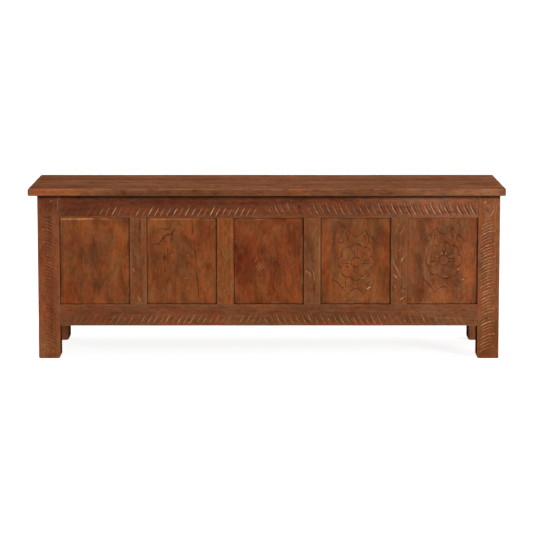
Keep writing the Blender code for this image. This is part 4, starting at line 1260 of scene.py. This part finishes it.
panels = {  # left as above; flower is where its middle lies from the panel's, in millimetres; joints is how dark the dirt and painted shade at the joint are at the left, right, bottom and top
    # how dark the joint is at the left, right, bottom and top
    1: {"left": 0.34, "flower": (0, 0), "tint": (0.99, 0.99, 0.97), "joints": (1.8, 0.7, 0.7, 0.5),
        "blots": [
            ((0.0, 0.03), (0.04, 0.05), (0.66, 0.7, 0.84)),
            ((0.08, 0.02), (0.03, 0.1), (1.18, 1.16, 1.0)),
            ((-0.1, -0.12), (0.03, 0.05), (1.14, 0.86, 0.6)),
            ((0.0, 0.13), (0.12, 0.02), (1.12, 1.12, 1.05)),
            # painted highlight: a thin pale line along the top edge, under the rail's arris
            ((-0.055, 0.149), (0.075, 0.0032), (3.2, 3.8, 4.0)),
            ((0.03, -0.09), (0.06, 0.03), (0.92, 1.0, 1.05))]},
    2: {"left": 0.26, "flower": (0, 0), "tint": (1.06, 1.07, 1.04), "joints": (1.1, 1.3, 1.2, 0.9),
        "blots": [
            ((-0.01, -0.02), (0.04, 0.11), (0.84, 0.86, 0.9)),
            ((0.09, 0.06), (0.03, 0.08), (0.88, 0.78, 0.78)),
            ((0.06, -0.1), (0.06, 0.05), (1.15, 1.08, 0.9)),
            ((-0.095, 0.13), (0.03, 0.03), (1.15, 1.18, 1.05)),
            ((0.01, 0.11), (0.03, 0.04), (1.1, 1.04, 0.9)),
            # the last blot is a painted highlight: a thin pale line along the top edge, under the rail's
            # arris
            ((-0.04, 0.149), (0.09, 0.0032), (2.2, 2.4, 2.4))]},
    3: {"left": 0.38, "flower": (0, 0), "tint": (0.94, 0.83, 0.77), "joints": (1.1, 1.6, 1.2, 0.9),
        "blots": [
            ((-0.08, 0.0), (0.05, 0.09), (0.8, 0.6, 0.58)),
            ((0.02, 0.12), (0.1, 0.035), (1.14, 1.26, 1.25)),
            ((0.0, -0.11), (0.1, 0.05), (1.12, 1.1, 0.95)),
            ((0.023, -0.0035), (0.005, 0.006), (0.6, 0.76, 0.9)),
            ((0.061, 0.009), (0.004, 0.006), (0.6, 0.62, 0.7)),
            ((0.049, -0.036), (0.004, 0.006), (0.6, 0.7, 0.8)),
            ((-0.115, 0.046), (0.004, 0.012), (0.4, 0.36, 0.5)),
            ((-0.045, -0.085), (0.03, 0.02), (1.1, 1.25, 1.1))]},
    4: {"left": 1.05, "flower": (0.6, -4), "tint": (1.01, 1.09, 1.11), "joints": (1.3, 1.6, 1.2, 0.9),
        "blots": [
            ((-0.108, -0.02), (0.012, 0.12), (1.1, 0.86, 0.66)),
            ((0.104, -0.01), (0.012, 0.1), (1.04, 0.84, 0.66)),
            ((-0.06, 0.11), (0.05, 0.03), (0.84, 0.86, 1.0)),
            ((0.05, 0.12), (0.03, 0.03), (1.02, 1.12, 1.05)),
            ((0.02, -0.12), (0.08, 0.03), (1.06, 1.04, 0.96))]},
    5: {"left": 1.0, "flower": (3, 3), "tint": (1.07, 1.22, 1.44), "joints": (0.4, 1.8, 1.0, 0.5),
        "blots": [
            ((0.11, 0.11), (0.02, 0.05), (1.05, 0.8, 0.7)),
            ((-0.085, -0.11), (0.04, 0.03), (0.74, 0.62, 0.62)),
            ((-0.09, 0.02), (0.035, 0.11), (0.82, 0.76, 0.76)),
            ((0.085, -0.03), (0.03, 0.05), (1.1, 0.9, 0.72)),
            ((0.05, 0.12), (0.05, 0.02), (0.92, 1.04, 1.1)),
            ((0.02, -0.13), (0.08, 0.02), (1.1, 1.02, 0.88))]},
}
knotCracks = [  # splits round a knot in the second panel, in millimetres from its middle
    (((-24, 115), (-31, 101), (-38, 91)), 6.8, 2.8, 0.0),
    (((-34, 96), (-48, 91), (-62, 88)), 5.6, 2.6, 0.0),
    (((-59, 92), (-64, 79), (-72, 69), (-80, 61)), 7.0, 2.8, 0.0, 0.9),
    (((-35, 96), (-34, 83), (-38, 67)), 6.4, 2.8, 0.0),
    (((-76, 62), (-88, 59), (-101, 59)), 4.6, 2.0, 0.0, 0.8),
    (((-77, 115), (-60, 111), (-41, 111)), 4.6, 1.8, 0.0), (((-64, 70), (-50, 67)), 3.8, 1.2, 0.0),
    (((36, 147), (38, 118), (41, 90)), 4.2, 2.0, 0.0),
    (((41, 90), (47, 30), (52, -40)), 3.4, 1.3, 0.0),
    (((50, -30), (56, -80), (60, -135)), 4.4, 2.0, 0.0),
    (((-49, 47), (-50, 28)), 4.8, 1.8, 0.0), (((-62, 20), (-62, 0)), 5.4, 2.0, 0.0),
    (((-30, 34), (-31, 18)), 3.4, 1.4, 0.0),
    (((-58, -20), (-60, -44)), 3.2, 1.2, 0.0), (((0, -64), (22, -61), (42, -60)), 3.4, 0.8, 0.5),
    (((17, 8), (23, 3)), 3.6, 0.8, 0.9), (((21, 14), (24, 22)), 3.0, 0.6, 0.6),
    (((12, 0), (4, -6)), 3.0, 0.6, 0.6), (((28, -2), (36, -8)), 3.0, 0.6, 0.5),
]
panelForm = {
    **frontForm, "finish": "panel oak", "grain": "v", "arris": (0.001, 0.001, 0.001, 0.001),
    "slope": (tongue["thick"], tongue["band"], tongue["slope"]), "wave": 0.0008, "waveLength": (0.2, 0.05),
}


def panelWork(number, settings, middle):
    flower = (middle[0] + settings["flower"][0] * mm, middle[1] + settings["flower"][1] * mm)

    def work(face):
        face["wear"] *= settings["left"]
        cutRosette(face, flower)
        carveRow(face, gougeMarks.get(number, []), [flower], seed=51)
        face["wear"] = np.ones_like(face["wear"])
        if number == 2:
            carveRow(face, knotCracks, [middle], seed=61, taper=0.3)
        addScratches(face, middle, (0.1, 0.13), 14, seed=70 + number)
        addBlots(face, settings["blots"], middle)
        jointDirtAndShade(face, settings["joints"])
    return work


for number, settings in panels.items():
    node = f"front_panel_{number}"
    form = {**panelForm, "seed": 400 + 20 * number, "tint": settings["tint"]}
    buildBoard(node, "front", form, work=panelWork(number, settings, middleOf(node)))

print("6. the ends, the back and the floor")

coarse = {"step": 0.008, "skip": 1, "body": "carcase"}
rearPostForm = {
    **coarse, "finish": "carved oak", "grain": "v", "rows": (0.02, 0.04, 0.06), "backBevel": 0.002,
    "rawBack": False, "wave": 0.0012, "arris": (0.003, 0.003, 0.003, 0.0012), "sway": 0.0006,
}
buildBoard("rear_left_post", "back", {
    **rearPostForm, "seed": 701, "corners": {"bottom left": 0.012, "bottom right": 0.004},
    # painted light: the lighter tint, and the first blot lighter still on the foot that the chest keeps
    # from the lamps; the second blot is painted shade down the inner side face
    "tint": (1.2, 1.2, 1.2),
    "blots": [((0.7615, 0.03), (0.12, 0.085), (1.72, 1.9, 2.4)),
              ((0.7235, 0.04), (0.005, 0.1), (0.3, 0.28, 0.3))]})
buildBoard("rear_right_post", "back", {
    **rearPostForm, "seed": 721, "corners": {"bottom right": 0.01, "bottom left": 0.004},
    # painted light: the lighter tint, and the first blot lighter still on the foot that the chest keeps
    # from the lamps; the second blot is painted shade down the inner side face
    "tint": (1.1, 1.2, 1.2),
    "blots": [((-0.7745, 0.03), (0.12, 0.085), (1.46, 1.64, 1.66)),
              ((-0.7365, 0.04), (0.005, 0.1), (0.3, 0.28, 0.26))]})

stub = 0.001  # how far these rails run into the posts, so that no light shows between them
endWall = {"muntins": 1, "panels": 2, "finish": "carved oak", "panelFinish": "panel oak", "wave": 0.0006}
walls = {
    "left": {**endWall, "along": (-innerY[1] - stub, -innerY[0] + stub), "seed": 800},
    "right": {**endWall, "along": (innerY[0] - stub, innerY[1] + stub), "seed": 900},
    "back": {"muntins": 3, "panels": 4, "finish": "plain oak", "panelFinish": "plain oak", "wave": 0.0014,
             "along": (-innerX[1] - stub, -innerX[0] + stub), "seed": 1000},
}


def buildWall(wall, settings):
    shared = {**coarse, "finish": settings["finish"], "wave": settings["wave"]}
    seeds = itertools.count(settings["seed"], 20)
    for level, side, arris in (("top", "bottom", (0.0008, 0.0008, 0.002, 0.0012)),
                               ("bottom", "top", (0.0008, 0.0008, 0.003, 0.002))):
        node = f"{wall}_{level}_rail"
        form = {**shared, "grain": "u", "seed": next(seeds), "arris": arris, "grooves": {side: railGroove}}
        buildBoard(node, wall, form, shoulders(node, wall, along=settings["along"]))
    for number in range(1, settings["muntins"] + 1):
        node = f"{wall}_muntin_{number}"
        form = {**shared, "grain": "v", "seed": next(seeds), "arris": (0.002, 0.002, 0.0006, 0.0006),
                "grooves": {"both": railGroove}}
        buildBoard(node, wall, form, shoulders(node, wall, up=openZ))
    for number in range(1, settings["panels"] + 1):
        form = {**panelForm, **coarse, "finish": settings["panelFinish"], "seed": next(seeds),
                "wave": settings["wave"], "step": 0.004}
        buildBoard(f"{wall}_panel_{number}", wall, form, work=jointDirtAndShade)


for wallName, wallSettings in walls.items():
    buildWall(wallName, wallSettings)

floorForm = {
    **coarse, "finish": "plain oak", "grain": "v", "wave": 0.0009, "raw": 0.85,
    "arris": (0.001, 0.001, 0.0008, 0.0008), "step": 0.02, "sway": 0.0002,
}
for number in range(1, 7):
    dressBoard(f"floor_board_{number}", "top", {**floorForm, "seed": 1200 + 20 * number})

print("7. the lid")

lidForm = {
    **coarse, "body": "lid", "finish": "lid oak", "grain": "u", "step": 0.013,
    "wave": 0.0004, "waveLength": (0.35, 0.06), "sway": 0.0006, "underArris": 0.0007, "backWave": 0.5,
    "tint": (1.01, 1.05, 1.11),
}
edgeBlots = [  # on the lid's front edge only
    ((-0.74, -0.26), (0.14, 0.004), (1.7, 1.24, 0.76)), ((-0.2, -0.26), (0.34, 0.004), (0.65, 0.49, 0.37)),
    ((0.34, -0.26), (0.2, 0.004), (0.78, 0.67, 0.58)), ((0.75, -0.26), (0.14, 0.004), (1.5, 1.5, 1.45)),
    ((-0.47, -0.26), (0.03, 0.004), (0.8, 0.76, 0.76)), ((0.12, -0.26), (0.04, 0.004), (1.22, 1.1, 0.9)),
]
frontStreaks = [  # long patches on the top of the lid
    ((-0.3, -0.2), (0.5, 0.022), (0.84, 0.8, 0.78)), ((0.45, -0.12), (0.4, 0.02), (0.86, 0.84, 0.82)),
    ((-0.6, -0.06), (0.25, 0.025), (1.14, 1.12, 1.08)), ((0.2, -0.04), (0.45, 0.018), (1.12, 1.12, 1.12)),
]
backStreaks = [
    ((-0.55, 0.08), (0.4, 0.03), (0.8, 0.78, 0.76)), ((0.25, 0.1), (0.45, 0.022), (0.9, 0.88, 0.88)),
    ((0.1, 0.18), (0.6, 0.024), (1.12, 1.14, 1.14)), ((-0.4, 0.23), (0.35, 0.02), (1.16, 1.14, 1.1)),
]
dressBoard("lid_front_board", "top", {
    **lidForm, "seed": 1401, "arris": (0.003, 0.0035, 0.0028, 0.0008), "straight": ("top",),
    "meets": 0.0004,
    "corners": {"bottom left": 0.004, "bottom right": 0.009}, "blots": frontStreaks + edgeBlots})
dressBoard("lid_back_board", "top", {
    **lidForm, "seed": 1431, "arris": (0.003, 0.003, 0.0008, 0.0012), "straight": ("bottom",),
    "corners": {"top left": 0.004, "top right": 0.006}, "blots": backStreaks})
battenForm = {
    **coarse, "body": "lid", "finish": "plain oak", "grain": "v", "wave": 0.0005, "raw": 0.5,
    "arris": (0.003, 0.003, 0.003, 0.003), "backBevel": 0.0005,
}
battens = [f"lid_{place}_batten" for place in ("left", "middle", "right")]
for number, node in enumerate(battens):
    buildBoard(node, "under", {**battenForm, "seed": 1500 + 20 * number})

print("8. pegs, nails and hinges")

pegShape = {
    "sides": 9, "uneven": 0.09, "radius": 0.0045,
    "proud": 0.0003,                # how far its head stands out
    "length": 0.02, "short": 0.0008,
    "drop": 0.034, "rail": 0.013,   # how far it is from a post's end of the wall, and from a rail's edge
    "rings": ((0.72, 0.0, 0.0002), (0.97, 0.0006, 0.0002), (1.0, 0.004, 0.0)),  # width, depth and tilt
    "tail": 0.9,
}


def pegPoints(length, random):
    # a peg whittled from square stock, as rings of points from its head inwards
    count = pegShape["sides"]
    turns = np.linspace(0, 2 * math.pi, count, endpoint=False) + random.uniform(0, 1)
    uneven = pegShape["radius"] * (1 - pegShape["uneven"] * random.random(count))
    rings = []
    for share, depth, tilt in (*pegShape["rings"], (pegShape["tail"], length, 0.0)):
        rings.append(np.stack([uneven * share * np.cos(turns), uneven * share * np.sin(turns),
                               depth + tilt * (1 + np.cos(turns + 1))], axis=1))
    faces = [list(range(count))]
    for k in range(len(rings) - 1):
        for a in range(count):
            b = (a + 1) % count
            faces.append([k * count + a, (k + 1) * count + a, (k + 1) * count + b, k * count + b])
    last = len(rings) * count - 1
    faces.append(list(range(last, last - count, -1)))
    return np.vstack(rings), faces


def buildPegs(name, wall, spots, length, seed, tint, nodes=()):
    # all of them in one mesh; spots are the (u, v, w) places of their heads on a wall
    allPoints, allFaces, shifts = [], [], []
    count = 0
    for number, spot in enumerate(spots):
        points, faces = pegPoints(length, np.random.default_rng(seed + number))
        allPoints.append(points + np.array(spot))
        allFaces += [[count + k for k in face] for face in faces]
        shifts.append(np.full(len(points), number * 0.37))
        count += len(points)
    u, v, w = np.vstack(allPoints).T
    mesh = meshFromFaces(name, offWall(wall, (u, v, w)), allFaces)
    shift = np.concatenate(shifts)
    markPiece(mesh, np.stack([w + shift, u * 2, v * 2 + shift], axis=1),
              {"tint": np.tile(tint, (count, 1))})
    finishPiece(name, mesh, "peg oak", "carcase", *nodes)


frontPegTints = {"left": (1.05, 1.05, 1.05), "right": (1.25, 1.25, 1.15)}
frontPegs = itertools.product(frontPegTints, ("top", "bottom"), (1, 2))
for k, (side, level, number) in enumerate(frontPegs):
    node = f"front_{side}_{level}_peg_{number}"
    low, high = nodeSpan(node, "front")
    spot = ((low[0] + high[0]) / 2, (low[1] + high[1]) / 2, low[2])
    length = high[2] - low[2] - pegShape["short"]
    buildPegs("oak_" + node, "front", [spot], length, 2001 + 5 * k, frontPegTints[side], (node,))

# The pegs of the other joints: two in each tenon of a rail, and one in each of a muntin
morePegs = {
    "left": {"posts": ("front_left_post", "rear_left_post"), "heights": (0.512, 0.56, 0.128, 0.178)},
    "right": {"posts": ("front_right_post", "rear_right_post"), "heights": (0.512, 0.56, 0.128, 0.178)},
    "back": {"posts": ("rear_left_post", "rear_right_post"), "heights": (0.522, 0.549, 0.14, 0.166)},
}
for wall, settings in morePegs.items():
    spots = []
    wallMiddle = sum(walls[wall]["along"]) / 2
    for post in settings["posts"]:
        low, high = nodeSpan(post, wall)
        along = high[0] - pegShape["drop"] if high[0] < wallMiddle else low[0] + pegShape["drop"]
        spots += [(along, height, low[2] - pegShape["proud"]) for height in settings["heights"]]
    for number in range(1, walls[wall]["muntins"] + 1):
        low, high = nodeSpan(f"{wall}_muntin_{number}", wall)
        for height in (openZ[0] - pegShape["rail"], openZ[1] + pegShape["rail"]):
            spots.append(((low[0] + high[0]) / 2, height, low[2] - pegShape["proud"]))
    buildPegs(f"oak_{wall}_pegs", wall, spots, pegShape["length"], 2100, (1.1, 1.1, 1.1))

nailShape = {
    "radius": 0.0052, "height": 0.0016, "sides": 6,
    "levels": ((1.0, -0.0012), (1.0, 0.0003), (0.55, 0.0012)),  # width and height of each ring of the head
}


def buildNails(name, body, heads):
    # rose-headed nails: each is a point on a surface and the way out of it
    points, faces = [], []
    count = nailShape["sides"]
    for number, (spot, out) in enumerate(heads):
        random = np.random.default_rng(3000 + number)
        out = Vector(out)
        across = out.orthogonal().normalized()
        up = out.cross(across)
        first = len(points)
        turn = random.uniform(0, 1)
        for share, height in nailShape["levels"]:
            for k in range(count):
                angle = 2 * math.pi * k / count + turn
                reach = nailShape["radius"] * share * random.uniform(0.85, 1.0)
                sideways = across * math.cos(angle) + up * math.sin(angle)
                points.append(Vector(spot) + sideways * reach + out * height)
        points.append(Vector(spot) + out * nailShape["height"])
        top = len(points) - 1
        faces.append([first + k for k in range(count - 1, -1, -1)])
        for a in range(count):
            b = (a + 1) % count
            for start in (first, first + count):
                faces.append([start + a, start + b, start + count + b, start + count + a])
            faces.append([first + 2 * count + a, first + 2 * count + b, top])
    mesh = meshFromFaces(name, [tuple(point) for point in points], faces)
    finishPiece(name, mesh, "iron", body)


def surfaceAt(node, start, way):
    # where a line from start meets a CAD node
    hit, place, *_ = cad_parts[node].ray_cast(Vector(start), Vector(way))
    return place if hit else None


hingeNails = {  # from its middle along the chest; then y, or z for a leaf
    "strap": ((0.004, 0.182), (-0.003, 0.12), (0.001, 0.06), (0.0, -0.011)),
    "leaf": ((-0.019, 0.53), (0.019, 0.53), (-0.018, 0.552), (0.018, 0.552)),
    "batten": ((-0.008, -0.165), (0.008, -0.06), (-0.008, 0.055), (0.008, 0.165)),
    "battenProud": 0.0003,
}
lidNails, leafNails = [], []
for side in ("left", "right"):
    strap, leaf = side + "_hinge_strap", side + "_hinge_leaf"
    for x, y in hingeNails["strap"]:
        place = surfaceAt(strap, (middleOf(strap)[0] + x, y, 0.4), (0, 0, 1))
        lidNails.append((place, (0, 0, -1)))
    for x, z in hingeNails["leaf"]:
        place = surfaceAt(leaf, (middleOf(leaf)[0] + x, 0.5, z), (0, -1, 0))
        leafNails.append((place, (0, 1, 0)))
for batten in battens:
    for x, y in hingeNails["batten"]:
        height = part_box(batten)[0].z + hingeNails["battenProud"]
        lidNails.append(((middleOf(batten)[0] + x, y, height), (0, 0, -1)))
# a nail that would miss its strap or leaf is left out
buildNails("iron_lid_nails", "lid", [nail for nail in lidNails if nail[0]])
buildNails("iron_leaf_nails", "carcase", [nail for nail in leafNails if nail[0]])

for name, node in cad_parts.items():
    if "_hinge_" in name:
        node.data.materials.clear()
        node.data.materials.append(materials["iron"])

print("9. all pieces built")
